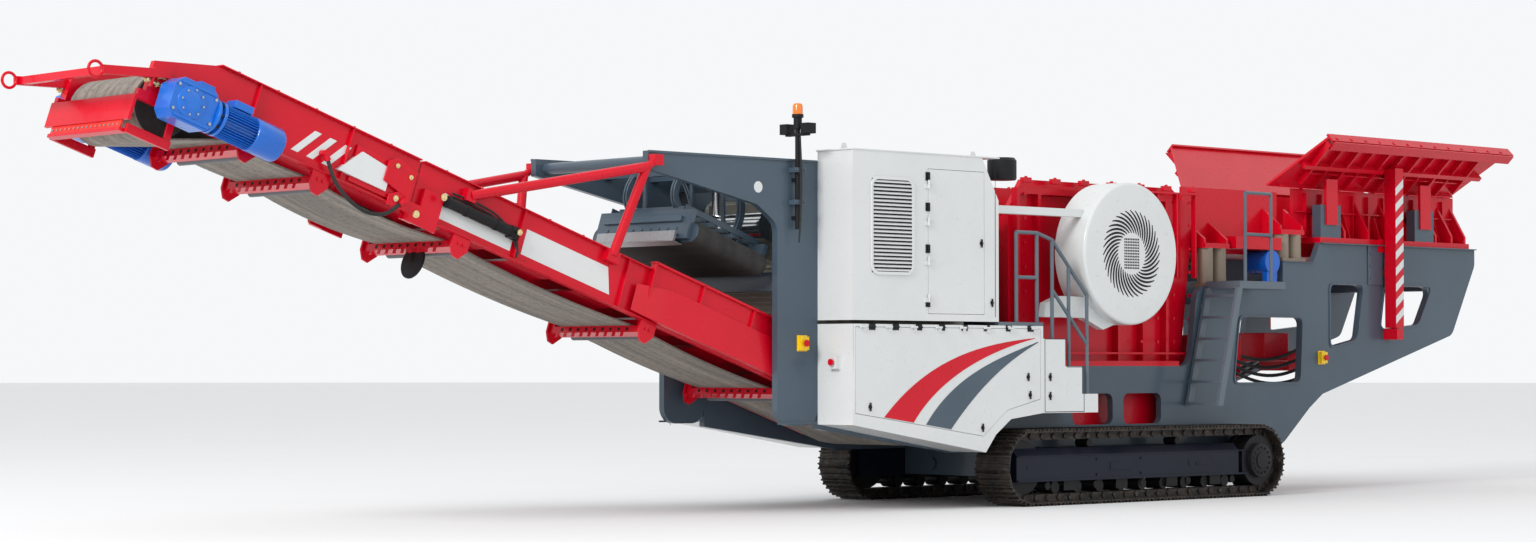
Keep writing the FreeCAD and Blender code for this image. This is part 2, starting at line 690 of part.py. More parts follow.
wing_spots = [S.hopper_front + 700 + 760 * n for n in range(5)]
pin_radius = S.wing_gap - 2


def hopper_side():
    """One upright hopper wall below the wing, with its ribs and feet on the chassis."""
    wall = box("hopper_wall", (S.hopper_front + 505, S.hopper_rear), (-wall_outside, -S.hopper_half_width),
               (wall_foot, S.hopper_hinge - S.wing_gap * 2))
    pieces = [wall]
    ledge = box("hopper_ledge", (S.rear_head, S.hopper_rear), (-S.frame_outside, -S.hopper_half_width),
                (S.rear_top, S.rear_top + 70))
    pieces.append(ledge)
    for number, x in enumerate((7390, 7900, 8440, 9380, 9740, 10040)):
        pieces.append(plate(f"hopper_rib{number}", "YZ", [
            (-wall_outside + 5, S.rear_top + 60), (-S.frame_outside + 20, S.rear_top + 60),
            (-S.frame_outside + 20, S.rear_top + 160), (-wall_outside, S.hopper_hinge - 160),
            (-wall_outside + 5, S.hopper_hinge - 160)], x, x + 40))
    for number, x in enumerate(wing_spots):
        pieces.append(rod(f"wall_knuckle{number}", "x", (x, -S.hopper_half_width, S.hopper_hinge), pin_radius, 60))
        pieces.append(box(f"wall_leaf{number}", (x, x + 60), (-S.hopper_half_width - 8, -S.hopper_half_width),
                          (S.hopper_hinge - S.wing_gap * 2 - 5, S.hopper_hinge)))
    return fuse("hopper_side", pieces)


keep(pair("hopper_sides", hopper_side()))

rear_inside = S.hopper_half_width - S.running_gap / 2
rear_wall = box("rear_wall", (S.hopper_rear - S.sheet_steel, S.hopper_rear), (-rear_inside, rear_inside),
                (S.rear_top - 60, S.hopper_hinge))
flare_out = S.hopper_half_width + S.wing_rise - S.wing_gap * 4
flare_angle = math.degrees(math.atan2(plain(S.wing_sweep), plain(S.wing_rise)))
flare_length = math.hypot(plain(S.wing_sweep), plain(S.wing_rise))
flare_frame = FreeCAD.Placement(
    FreeCAD.Vector(plain(S.hopper_rear) - 12, 0, plain(S.hopper_hinge) - 10),
    FreeCAD.Rotation(FreeCAD.Vector(0, 1, 0), flare_angle))
flare = plate("rear_flare", "YZ", [
    (-rear_inside + 40, 0), (rear_inside - 40, 0), (flare_out - 20, flare_length - 60),
    (-flare_out + 20, flare_length - 60)], -S.sheet_steel / 2, S.sheet_steel / 2, on=flare_frame)
keep(fuse("hopper_rear", [rear_wall, flare, box(
    "rear_band", (S.hopper_rear - S.sheet_steel, S.hopper_rear + 60), (-rear_inside, rear_inside),
    (S.hopper_hinge - 110, S.hopper_hinge - 30))]))

post_x = 8180

# wing: flat in its own frame (along the hinge, then up the slant), turned 45 degrees outward
wing_slant = plain(S.wing_rise) * math.sqrt(2)
wing_turn = FreeCAD.Rotation(FreeCAD.Vector(1, 0, 0), -45)
wing_hinge = FreeCAD.Placement(
    FreeCAD.Vector(0, -plain(S.hopper_half_width), plain(S.hopper_hinge)), wing_turn)


def wing(label):
    """One hopper wing: sheet, ribs underneath, edge lip and hinge knuckles, in place."""
    low, high = -S.wing_thickness, 0
    sheet_piece = plate(label + "_sheet", "XY", [
        (S.hopper_front, -S.wing_gap), (S.hopper_rear - 60, -S.wing_gap),
        (S.hopper_rear + S.wing_sweep - 60, -wing_slant),
        (S.hopper_front + S.wing_sweep, -wing_slant)], low, high, on=wing_hinge)
    pieces = [sheet_piece]
    reach = (S.hopper_rear - S.hopper_front - 700) / 5
    for number in range(6):
        x = plain(S.hopper_front + 480 + reach * number)
        pieces.append(box(f"{label}_rib{number}", (x, x + 30), (-wing_slant + 40, -140),
                          (-S.wing_thickness - 90, -S.wing_thickness + 5), on=wing_hinge))
    pieces.append(box(label + "_lip", (S.hopper_front + S.wing_sweep, S.hopper_rear + S.wing_sweep - 30),
                      (-wing_slant - 20, -wing_slant + 10), (-S.wing_thickness - 70, 30), on=wing_hinge))
    for number, x in enumerate(wing_spots):
        start = plain(x + 60 + S.running_gap)
        pieces.append(rod(f"{label}_knuckle{number}", "x", (start, 0, 0), pin_radius, 60, wing_hinge))
        pieces.append(box(f"{label}_leaf{number}", (start, start + 60), (-S.wing_gap - 5, 0), (-8, 0), on=wing_hinge))
    for number, span in enumerate(((S.hopper_front + 320, post_x - 90), (post_x + 260, S.hopper_rear + 140))):
        pieces.append(box(f"{label}_rail{number}", span, (-wing_slant / 2 - 30, -wing_slant / 2 + 30),
                          (-S.wing_thickness - 90, -S.wing_thickness + 5), on=wing_hinge))
    return fuse(label, pieces)


wing_near = keep(wing("wing_near"))
keep(mirrored("wing_far", wing_near))

# ---------------------------------------------------------------- props and post


prop_top = S.hopper_hinge + 95


def props():
    """Flat props under one wing, on sockets on the chassis."""
    pieces = []
    for number, x in enumerate((6880, 8900)):
        socket = box(f"socket{number}", (x, x + 420), (-S.frame_outside, -S.frame_outside + 130),
                     (S.rear_top + 70, S.rear_top + 480))
        arm = box(f"prop{number}", (x + 95, x + 325), (-S.frame_outside - 25, -S.frame_outside + 15),
                  (S.rear_top + 230, prop_top))
        pieces.append(fuse(f"prop_unit{number}", [socket, arm]))
    return pieces


near_props = props()
striped_post = box("striped_post", (post_x, post_x + 170), (-1150, -980), (2050, 4095))
lug = box("post_lug", (post_x + 20, post_x + 150), (-1150, -S.frame_outside), (1900, 2040))
post_unit = fuse("post_unit", [striped_post, lug, box(
    "post_hanger", (post_x + 45, post_x + 125), (-1100, -1030), (2030, 2060)), box(
    "post_arm", (post_x + 45, post_x + 125), (-990, -S.frame_outside), (S.rear_top - 400, S.rear_top - 300))])
keep(group("wing_props", [*near_props, *[mirrored(p.Label + "_far", p) for p in near_props],
                          post_unit, mirrored("post_unit_far", post_unit)]))

# ---------------------------------------------------------------- ladder and platform
stile_sides = ((-S.platform_edge, -S.platform_edge + 40), (-S.frame_outside - 60, -S.frame_outside - 20))
ladder_head = S.step_one - 20
ladder_lean = 380


def ladder():
    """The steep ladder beside the chassis: its treads run across the machine, up to the service platform."""
    foot = S.platform_front - ladder_lean
    pieces = [box("platform_floor", (S.platform_front, S.platform_rear), (-S.platform_edge, -S.frame_outside),
                  (S.step_one + 60 - S.platform_thickness, S.step_one + 60))]
    for number, span in enumerate(stile_sides):
        pieces.append(plate(f"stile{number}", "XZ", [
            (foot - 50, S.ladder_foot), (foot + 50, S.ladder_foot),
            (S.platform_front + 55, ladder_head), (S.platform_front - 45, ladder_head)], *span))
    for number in range(6):
        low = S.ladder_foot + 10 + S.tread_rise * number
        middle = foot + ladder_lean * (plain(low) - plain(S.ladder_foot)) / plain(ladder_head - S.ladder_foot)
        pieces.append(box(f"tread{number}", (middle - 60, middle + 60),
                          (stile_sides[0][1] - 5, stile_sides[1][0] + 5), (low, low + 30)))
    for number, z in enumerate((1330, 2240)):
        middle = foot + ladder_lean * (z - plain(S.ladder_foot)) / plain(ladder_head - S.ladder_foot)
        pieces.append(box(f"ladder_tie{number}", (middle - 30, middle + 70),
                          (stile_sides[1][1] - 5, -S.frame_outside), (z, z + 60)))
    return fuse("ladder", pieces)


def platform_rail():
    """The guard rail at the platform's outer edge, and the grab rail beside the ladder."""
    edge, floor = -S.platform_edge + 40, S.step_one + 60
    front, rear = S.platform_front + 150, S.platform_rear - 230
    posts = [((x, edge, floor), S.rail_height + 60) for x in (front, rear)]
    rails = [((front, edge, floor + rise), (rear, edge, floor + rise)) for rise in (560, S.rail_height + 60)]
    return fuse("platform_rail", railing("platform", posts, rails))


ladder_near, platform_rail_near = ladder(), platform_rail()
keep(group("walkways", [deck_near, mirrored("deck_far", deck_near),
                        ladder_near, mirrored("ladder_far", ladder_near)]))
keep(group("railings", [deck_rail, mirrored("deck_rail_far", deck_rail),
                        platform_rail_near, mirrored("platform_rail_far", platform_rail_near)]))

# ---------------------------------------------------------------- discharge conveyor
# Sloping pieces are built along the conveyor: x down the slope from the fold, z away from the belt.
slope = FreeCAD.Placement(FreeCAD.Vector(plain(S.fold_x), 0, plain(S.fold_z)),
                          FreeCAD.Rotation(FreeCAD.Vector(0, 1, 0), plain(S.slope)))
rise = math.cos(math.radians(plain(S.slope)))
knee_reach = plain(S.fold_z - S.flat_bottom + S.stringer_lift) / math.sin(math.radians(plain(S.slope)))
knee_x = plain(S.fold_x) + knee_reach * rise
stringer_inside = S.stringer_outside - S.stringer_plate
stringer_z = (S.stringer_lift, S.stringer_lift + S.stringer_depth)


def sides(low, high):
    """The two spans on either side of the middle."""
    return [(-high, -low), (low, high)]


def tail_stringer(number, span):
    """One side of the fixed conveyor: a sloping length and a level length under the crusher."""
    sloping = box(f"tail_slope{number}", (S.fold_gap, knee_reach + 130), span, stringer_z, on=slope)
    level = box(f"tail_level{number}", (knee_x, S.conveyor_rear), span,
                (S.flat_bottom, S.flat_bottom + S.stringer_depth))
    outside = [(-S.stringer_outside - 50, -S.stringer_outside), (S.stringer_outside, S.stringer_outside + 50)][number]
    skirt = box(f"tail_skirt{number}", (3060, 5300), outside, (stringer_z[0] + 60, stringer_z[1] + 80), on=slope)
    return fuse(f"tail_stringer{number}", [sloping, level, skirt])


keep(group("tail_stringers", [tail_stringer(n, span) for n, span in enumerate(sides(stringer_inside, S.stringer_outside))]))

bar_gap = 6
bar_ends = 60


def cross_bar(label, reach):
    """A folded bar across the underside that carries a return roller, with its end lugs."""
    low = S.return_height - S.belt_thickness - bar_gap
    bar = box(label + "_bar", (reach, reach + 150), (-stringer_inside - bar_ends, stringer_inside + bar_ends),
              (low - 70, low), on=slope)
    ends = [box(f"{label}_end{n}", (reach, reach + 150), span, (low - 5, S.stringer_lift), on=slope)
            for n, span in enumerate(sides(stringer_inside, S.stringer_outside))]
    return fuse(label, [bar, *ends])


tail_bars = [cross_bar(f"tail_bar{n}", reach) for n, reach in enumerate((600, 3120, 5150))]
hoops = [box(f"idler_bar{n}", (reach, reach + 60), (-stringer_inside, stringer_inside),
             (S.carry_height - 130, S.carry_height - S.belt_thickness - S.running_gap), on=slope)
         for n, reach in enumerate(range(800, 6200, 900))]
level_carry = S.flat_bottom + S.carry_height - S.stringer_lift
tail_radius = (S.carry_height - S.return_height + S.belt_thickness) / 2
tail_drum_x = S.conveyor_rear - 200
tail_drum = fuse("tail_drum", [
    rod("tail_shell", "y", (tail_drum_x, -S.belt_width / 2, level_carry - tail_radius),
        tail_radius - S.belt_thickness - S.running_gap, S.belt_width),
    rod("tail_shaft", "y", (tail_drum_x, -stringer_inside, level_carry - tail_radius), 45, stringer_inside * 2)])
keep(group("tail_crossbars", [*tail_bars, *hoops, tail_drum]))

def belt_end(label, reach, span, height, radius, outward, on=None, wrap=0):
    """The ring of belt round an end drum: half a turn, and wrap degrees more underneath."""
    ring = cut(label + "_ring", rod(label + "_outer", "y", (reach, span[0], height), radius, span[1] - span[0], on),
               [rod(label + "_inner", "y", (reach, span[0] - 10, height), radius - S.belt_thickness,
                    span[1] - span[0] + 20, on)])
    half = (reach - 2 * radius, reach) if outward < 0 else (reach, reach + 2 * radius)
    halves = [box(label + "_half", half, (span[0] - 10, span[1] + 10), (height - 2 * radius, height + 2 * radius), on)]
    if wrap:
        turned = on.multiply(FreeCAD.Placement(FreeCAD.Vector(plain(reach), 0, plain(height)),
                                               FreeCAD.Rotation(FreeCAD.Vector(0, 1, 0), -wrap)))
        halves.append(box(label + "_wrap", (-2 * radius, 0), (span[0] - 10, span[1] + 10),
                          (-2 * radius, 2 * radius), turned))
        halves = [fuse(label + "_halves", halves)]
    common = doc.addObject("Part::MultiCommon", label)
    common.Shapes = [ring, *halves]
    return common


belt_span = (-S.belt_width / 2, S.belt_width / 2)
carry = (S.carry_height - S.belt_thickness, S.carry_height)
back = (S.return_height - S.belt_thickness, S.return_height)
head_belt_radius = S.drum_radius + S.belt_thickness + S.running_gap
drum_height = S.carry_height - head_belt_radius
wrap_angle = 22
head_end = belt_end("head_bend", -S.drum_reach, belt_span, drum_height, head_belt_radius, -1, slope, wrap_angle)
leave_x = plain(-S.drum_reach + head_belt_radius * math.sin(math.radians(wrap_angle)))
leave_z = plain(drum_height - head_belt_radius * math.cos(math.radians(wrap_angle)))
lift_length = (plain(back[0]) - leave_z) / math.sin(math.radians(wrap_angle))
lift_frame = slope.multiply(FreeCAD.Placement(
    FreeCAD.Vector(leave_x, 0, leave_z), FreeCAD.Rotation(FreeCAD.Vector(0, 1, 0), -wrap_angle)))
lift = box("head_return_lift", (-3, lift_length + 4), belt_span, (0, S.belt_thickness), on=lift_frame)
lift_end = leave_x + lift_length * math.cos(math.radians(wrap_angle))
keep(fuse("head_belt", [
    box("head_carry", (-S.drum_reach, -S.fold_gap), belt_span, carry, on=slope), head_end, lift,
    box("head_return", (lift_end, -60), belt_span, back, on=slope)]))

level_return = (level_carry - tail_radius * 2, level_carry - tail_radius * 2 + S.belt_thickness)
keep(fuse("tail_belt", [
    box("tail_carry", (S.fold_gap, knee_reach + 60), belt_span, carry, on=slope),
    box("tail_return", (40, knee_reach + 20), belt_span, back, on=slope),
    box("level_carry", (knee_x - 60, tail_drum_x), belt_span, (level_carry - S.belt_thickness, level_carry)),
    box("level_return", (knee_x - 60, tail_drum_x), belt_span, level_return),
    belt_end("tail_bend", tail_drum_x, belt_span, level_carry - tail_radius, tail_radius, 1)]))

# head section
nose_x = -S.drum_reach - 300


def head_stringer(number, span):
    """One side of the folding head: its top turns level and its nose drops round the drum."""
    return plate(f"head_stringer{number}", "XZ", [
        (-S.fold_gap, stringer_z[0]), (-S.fold_gap, stringer_z[1]), (-S.head_length + 80, stringer_z[1]),
        (nose_x, stringer_z[1] - 215), (nose_x, -50), (-S.head_length + 180, -50),
        (-S.head_length + 380, stringer_z[0])], *span, on=slope)


keep(group("head_stringers", [
    head_stringer(n, span) for n, span in enumerate(sides(stringer_inside, S.stringer_outside))]))

head_bars = [cross_bar(f"head_bar{n}", reach) for n, reach in enumerate((-1970, -1130))]
arms = []
for n, span in enumerate(sides(S.stringer_outside, S.stringer_outside + 60)):
    arms.append(box(f"arm{n}", (S.arm_tip, S.arm_tip + 700), span, (4130, 4210)))
    ring_piece = doc.addObject("Part::Torus", f"arm_ring{n}")
    ring_piece.Radius1, ring_piece.Radius2 = 70, 14
    ring_piece.Placement = FreeCAD.Placement(
        FreeCAD.Vector(plain(S.arm_tip) - 62, plain(span[0] + span[1]) / 2, 4170),
        FreeCAD.Rotation(FreeCAD.Vector(1, 0, 0), 90))
    arms.append(ring_piece)
nose = box("nose_tie", (S.arm_tip + 30, S.arm_tip + 110), (-S.stringer_outside - 5, S.stringer_outside + 5),
           (4135, 4205))
scraper_x = nose_x - 60
scraper = box("scraper", (scraper_x - 30, scraper_x), (-S.stringer_outside, S.stringer_outside), (-260, -20),
              on=slope)
scraper_ends = [box(f"scraper_end{n}", (scraper_x - 10, nose_x), span, (-50, 40), on=slope)
                for n, span in enumerate(sides(stringer_inside, S.stringer_outside))]
head_nose = fuse("head_nose", [*arms, nose])
head_scraper = fuse("head_scraper", [scraper, *scraper_ends])

keep(fuse("head_drum", [
    rod("drum_shell", "y", (-S.drum_reach, belt_span[0], drum_height), S.drum_radius, S.belt_width, slope),
    rod("drum_shaft", "y", (-S.drum_reach, -stringer_inside, drum_height), 50, stringer_inside * 2, slope)]))


def gearmotor():
    """The bevel gearbox on the drum shaft's end, with its motor lying along the stringer."""
    low, high = -S.stringer_outside - 330, -S.stringer_outside - 60
    gearbox = box("gearbox", (-S.drum_reach - 220, -S.drum_reach + 280), (low, high), (-180, 230), on=slope)
    neck = rod("gear_neck", "y", (-S.drum_reach, high - 5, 25), 110, 65, slope)
    body = rod("gear_motor", "x", (-S.drum_reach + 270, (low + high) / 2, 20), 165, 780, slope)
    return fuse("gearmotor", [gearbox, neck, body])


keep(pair("gearmotors", gearmotor()))

# fold joint: head lugs inside, tail lugs outside, one pin a side
lug_inside = S.stringer_outside + S.running_gap
lug_outside = lug_inside + S.lug_plate


lug_rear, cylinder_radius = 330, 55


def fold_lugs():
    """Plates on both sides of the fold, and the cylinder that moves it."""
    head_lugs, tail_lugs, cylinders = [], [], []
    for n, side in enumerate((-1, 1)):
        def span(low, high, side=side):
            return (low, high) if side > 0 else (-high, -low)
        head_lugs.append(fuse(f"head_lug{n}", [
            box(f"head_lug_plate{n}", (-760, -S.fold_gap - 2), span(S.stringer_outside, lug_outside), (60, 420),
                on=slope),
            box(f"head_lug_foot{n}", (-90, 60), span(S.stringer_outside + 6, lug_outside), (-70, 70), on=slope)]))
        pin_gap = 0.3
        tail_lugs.append(fuse(f"tail_lug{n}", [
            box(f"tail_lug_plate{n}", (90, lug_rear), span(S.stringer_outside, lug_outside + pin_gap + S.lug_plate),
                (40, 300), on=slope),
            box(f"tail_lug_foot{n}", (-70, lug_rear), span(lug_outside + pin_gap, lug_outside + pin_gap + S.lug_plate),
                (-70, 120), on=slope)]))
        reach = side * (S.stringer_outside + cylinder_radius + 5)
        cylinders.append(fuse(f"fold_cylinder{n}", [
            rod(f"cylinder_barrel{n}", "x", (lug_rear + 15, reach, 270), cylinder_radius, 880, slope),
            box(f"cylinder_foot{n}", (lug_rear + 850, lug_rear + 950), span(
                S.stringer_outside, S.stringer_outside + cylinder_radius + 30), (210, 330), on=slope),
            rod(f"cylinder_rod{n}", "x", (lug_rear + S.running_gap, reach, 270), 28, 60, slope)]))
    return head_lugs, tail_lugs, cylinders


head_lugs, tail_lugs, cylinders = fold_lugs()

# hose from the head's panel round to its hinge plate, in one upright plane beside the conveyor
hose_radius, fitting_radius, hose_plane = 19, 30, -S.stringer_outside - 70
hose_route = [(-1060, 140), (-930, -20), (-720, -130), (-480, -172), (-270, -100), (-160, 40)]


def along_slope(reach, height):
    """A point of the hose's plane, in the frame of the machine."""
    return slope.multVec(FreeCAD.Vector(reach, plain(hose_plane), height))


def hose(label, route, radius):
    """A hose along straight runs joined by tangent arcs, each as large as its two runs allow."""
    spots = [along_slope(*spot) for spot in route]
    edges, last = [], spots[0]
    for before, corner, after in zip(spots, spots[1:], spots[2:]):
        back_way, on_way = (before - corner).normalize(), (after - corner).normalize()
        half_turn = (math.pi - back_way.getAngle(on_way)) / 2
        reach = 0.45 * min(before.distanceToPoint(corner), corner.distanceToPoint(after))
        bend = reach / math.tan(half_turn)
        print(f"{label} bend radius {bend:.0f}")
        first, final = corner + back_way * reach, corner + on_way * reach
        inward = (back_way + on_way).normalize()
        middle = corner + inward * (bend / math.cos(half_turn) - bend)
        edges += [Part.LineSegment(last, first).toShape(), Part.Arc(first, middle, final).toShape()]
        last = final
    edges.append(Part.LineSegment(last, spots[-1]).toShape())
    centre = doc.addObject("Part::Feature", label + "_centre")
    centre.Shape = Part.Wire(edges)
    way = (spots[1] - spots[0]).normalize()
    section = doc.addObject("Part::Feature", label + "_section")
    section.Shape = Part.Wire([Part.makeCircle(radius, spots[0], way)])
    tube = doc.addObject("Part::Sweep", label)
    tube.Sections, tube.Spine = [section], (centre, [f"Edge{n + 1}" for n in range(len(edges))])
    tube.Solid = True
    doc.recompute()
    print(label, "length", round(centre.Shape.Length, 1), "volume over section times length",
          round(tube.Shape.Volume / (math.pi * radius ** 2 * centre.Shape.Length), 4))
    return tube


def hose_fitting(label, end, inner, wall):
    """An elbow that carries one end of the hose off a plate: a stub in line with it, and a boss to the plate."""
    spot, way = along_slope(*end), (along_slope(*end) - along_slope(*inner)).normalize()
    heel = spot + way * 75
    stub = tube_between(label + "_stub", (spot.x, spot.y, spot.z), (heel.x, heel.y, heel.z), fitting_radius)
    boss = rod(label + "_boss", "y", (heel.x, heel.y, heel.z), fitting_radius, wall - hose_plane)
    return fuse(label, [stub, boss, tube_between(
        label + "_cap", (heel.x, heel.y - fitting_radius, heel.z), (heel.x, heel.y, heel.z), fitting_radius)])


first_fitting = hose_fitting("hose_fitting_front", hose_route[0], hose_route[1], -S.stringer_outside)
last_fitting = hose_fitting("hose_fitting_rear", hose_route[-1], hose_route[-2], -lug_outside)
keep(group("head_frame", [*head_bars, head_nose, head_scraper, first_fitting,
                          fuse("head_lug_and_fitting", [head_lugs[0], last_fitting]), head_lugs[1]]))
keep(group("fold_hoses", [hose("fold_hose", hose_route, hose_radius)]))
keep(group("tail_lugs", tail_lugs))
keep(group("fold_cylinders", cylinders))


def strut():
    """Upright and long tube on one side that hold the conveyor up from the cantilever."""
    foot = slope.multVec(FreeCAD.Vector(2500, 0, plain(stringer_z[1]) - 40))
    end = slope.multVec(FreeCAD.Vector(620, 0, plain(stringer_z[1]) - 120))
    y = -plain(S.stringer_outside) - 50
    top = (foot.x + 260, -plain(S.frame_outside) - 50, 3570)
    return fuse("strut", [
        tube_between("strut_upright", (foot.x, y, foot.z), top, 50),
        tube_between("strut_long", top, (end.x, y, end.z), 50),
        box("strut_foot", (2420, 2580), (-S.stringer_outside - 80, -S.stringer_outside),
            (stringer_z[1] - 120, stringer_z[1]), on=slope),
        box("strut_end", (560, 680), (-S.stringer_outside - 80, -S.stringer_outside),
            (stringer_z[1] - 180, stringer_z[1] - 60), on=slope),
        tube_between("strut_tie", top, (plain(S.cantilever_front) + 70, -plain(S.frame_outside) - 50, 3640), 40),
        box("strut_bracket", (S.cantilever_front + 10, S.cantilever_front + 130),
            (-S.frame_outside - 95, -S.frame_outside), (3590, 3700))])


keep(pair("conveyor_struts", strut()))

# ---------------------------------------------------------------- overband magnet
magnet = FreeCAD.Placement(FreeCAD.Vector(plain(S.magnet_x), 0, plain(S.magnet_z)),
                           FreeCAD.Rotation(FreeCAD.Vector(0, 1, 0), plain(S.slope)))
magnet_span = (-S.magnet_length / 2, S.magnet_length / 2)
magnet_reach = S.magnet_half_width - S.magnet_drum
magnet_belt_gap = 14


def magnet_oval(label, radius, grow=0):
    """A long round-ended block about the magnet's two drums."""
    span = (magnet_span[0] - grow, magnet_span[1] + grow)
    length = span[1] - span[0]
    return fuse(label, [
        box(label + "_middle", span, (-magnet_reach, magnet_reach), (-radius, radius), on=magnet),
        rod(label + "_near", "x", (span[0], -magnet_reach, 0), radius, length, magnet),
        rod(label + "_far", "x", (span[0], magnet_reach, 0), radius, length, magnet)])


keep(cut("magnet_belt", magnet_oval("magnet_belt_outer", S.magnet_drum),
         [magnet_oval("magnet_belt_inner", S.magnet_drum - magnet_belt_gap, 5)]))
housing_span = (magnet_span[0] - 60, magnet_span[1] + 60)
inner_radius = S.magnet_drum - magnet_belt_gap - S.running_gap
magnet_core = magnet_oval("magnet_core", inner_radius)
magnet_parts = [magnet_core]
for n, (low, high) in enumerate(((housing_span[0], magnet_span[0]), (magnet_span[1], housing_span[1]))):
    magnet_parts.append(box(f"magnet_cheek{n}", (low, high), (-magnet_reach, magnet_reach), (-80, 170), on=magnet))
    magnet_parts.append(box(f"magnet_lintel{n}", (low, high), (-magnet_reach, magnet_reach), (160, 240), on=magnet))
magnet_parts.append(box("magnet_top", housing_span, (-300, 300), (170, 240), on=magnet))
for n, x in enumerate((-350, 350)):
    start = magnet.multVec(FreeCAD.Vector(x, 0, 230))
    for side in (-1, 1):
        magnet_parts.append(tube_between(f"hanger{n}{side}", (start.x, side * 250, start.z),
                                         (start.x, side * 250, 3640), 25))
    magnet_parts.append(box(f"hanger_beam{n}", (start.x - 60, start.x + 60), between, (3560, 3680)))
keep(fuse("magnet_frame", magnet_parts))

# ---------------------------------------------------------------- beacon mast
mast_x, mast_y = S.post_front + 240, -S.frame_outside - 60
keep(fuse("beacon_mast", [
    rod("mast_pole", "z", (mast_x, mast_y, 3000), 28, 1065),
    *[box(f"mast_bracket{n}", (mast_x - 35, mast_x + 35), (mast_y, -S.frame_outside), (z, z + 40))
      for n, z in enumerate((3100, 3500))],
    rod("beacon_base", "z", (mast_x, mast_y, 4060), 55, 40),
    rod("beacon_lamp", "z", (mast_x, mast_y, 4095), 45, 105),
    box("lamp_bar", (mast_x - 30, mast_x + 30), (mast_y - 160, mast_y + 160), (3985, 4015)),
    *[box(f"work_lamp{n}", (mast_x - 60, mast_x + 60), (mast_y + side * 160 - 55, mast_y + side * 160 + 55),
          (4005, 4115)) for n, side in enumerate((-1, 1))]]))

# ---------------------------------------------------------------- checks and export
doc.recompute()
for thing in doc.Objects:
    if {"Invalid", "Error"} & set(thing.State):
        raise RuntimeError(f"{thing.Label} failed: {thing.State}")
os.makedirs("parts", exist_ok=True)
for node in NODES:
    if node.Shape.isNull() or not node.Shape.isValid():
        raise RuntimeError(f"{node.Label} has no valid shape")
    node.Shape.exportStep(f"parts/{node.Label}.step")
    print(node.Label, len(node.Shape.Solids), round(node.Shape.Volume / 1e9, 4), node.Shape.BoundBox)
print(len(NODES), "sub-parts")
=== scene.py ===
# %% [markdown]
# # A tracked jaw crusher plant
# The plant takes quarried rock in its hopper, breaks it between two jaws and carries the broken stone up a
# long belt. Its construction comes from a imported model, where each piece is a separate node on a rigid
# body. This lesson dresses that frame: it gives each node a finish and adds shoes, rollers, louvres, ribs
# and bolts.

# %% Load the frame
import math

import bpy
import numpy as np
from mathutils import Matrix, Vector


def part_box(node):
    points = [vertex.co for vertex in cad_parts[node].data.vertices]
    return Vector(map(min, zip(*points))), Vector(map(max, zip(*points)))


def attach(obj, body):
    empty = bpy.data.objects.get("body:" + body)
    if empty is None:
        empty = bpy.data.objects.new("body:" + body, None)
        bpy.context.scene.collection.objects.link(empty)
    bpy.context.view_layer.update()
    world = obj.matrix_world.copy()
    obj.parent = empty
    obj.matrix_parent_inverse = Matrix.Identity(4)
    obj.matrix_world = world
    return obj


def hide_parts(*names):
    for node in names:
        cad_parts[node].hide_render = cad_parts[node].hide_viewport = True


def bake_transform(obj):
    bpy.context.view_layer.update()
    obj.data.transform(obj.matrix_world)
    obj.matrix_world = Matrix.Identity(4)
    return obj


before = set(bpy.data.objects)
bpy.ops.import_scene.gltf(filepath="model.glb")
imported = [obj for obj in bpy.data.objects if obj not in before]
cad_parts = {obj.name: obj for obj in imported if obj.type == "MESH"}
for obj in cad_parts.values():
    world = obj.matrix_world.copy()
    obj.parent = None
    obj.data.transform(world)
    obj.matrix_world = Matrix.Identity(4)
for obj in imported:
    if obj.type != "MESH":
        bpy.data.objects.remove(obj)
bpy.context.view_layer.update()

# %% [markdown]
# ## Shapes as arrays
# A shape here is a pair: an array of points, and faces grouped by how many corners they have. Working on
# whole arrays keeps repeated pieces cheap, because a hundred bolts are one sum, not a hundred objects.

# %% Boxes and grids
def block(low, high):
    """A box from its lowest to its highest corner: eight points and six faces that look outwards."""
    low, high = np.minimum(low, high), np.maximum(low, high)
    pick = np.array([[0, 0, 0], [1, 0, 0], [1, 1, 0], [0, 1, 0], [0, 0, 1], [1, 0, 1], [1, 1, 1], [0, 1, 1]])
    points = np.where(pick == 1, high, low).astype(float)
    faces = np.array([[0, 3, 2, 1], [4, 5, 6, 7], [0, 1, 5, 4], [1, 2, 6, 5], [2, 3, 7, 6], [3, 0, 4, 7]])
    return points, {4: faces}


def grid(points, wrap_rows=False, wrap_columns=False):
    """Faces over a grid of points: each face joins a point to its next row and next column."""
    rows, columns = points.shape[:2]
    r = np.arange(rows if wrap_rows else rows - 1)
    c = np.arange(columns if wrap_columns else columns - 1)
    r, c = (a.ravel() for a in np.meshgrid(r, c, indexing="ij"))
    r2, c2 = (r + 1) % rows, (c + 1) % columns
    faces = np.stack([r * columns + c, r * columns + c2, r2 * columns + c2, r2 * columns + c], axis=1)
    return points.reshape(-1, 3), {4: faces}


print("a box has", len(block((0, 0, 0), (1, 1, 1))[0]), "points")

# %% [markdown]
# A closed shape has to look outwards everywhere, or it shades black and its mesh can't be used for
# anything else. Its volume tells which way it looks. Tubes get a flat face at each end.

# %% Closed shapes
def outward(shape):
    """
    Turns every face round if the closed shape is inside out: its volume, summed over fans of triangles, is
    then negative.
    """
    points, faces = shape
    volume = sum(np.sum(points[rows[:, 0]] * np.cross(points[rows[:, k]], points[rows[:, k + 1]]))
                 for corners, rows in faces.items() for k in range(1, corners - 1))
    return (points, {n: rows[:, ::-1] for n, rows in faces.items()}) if volume < 0 else shape


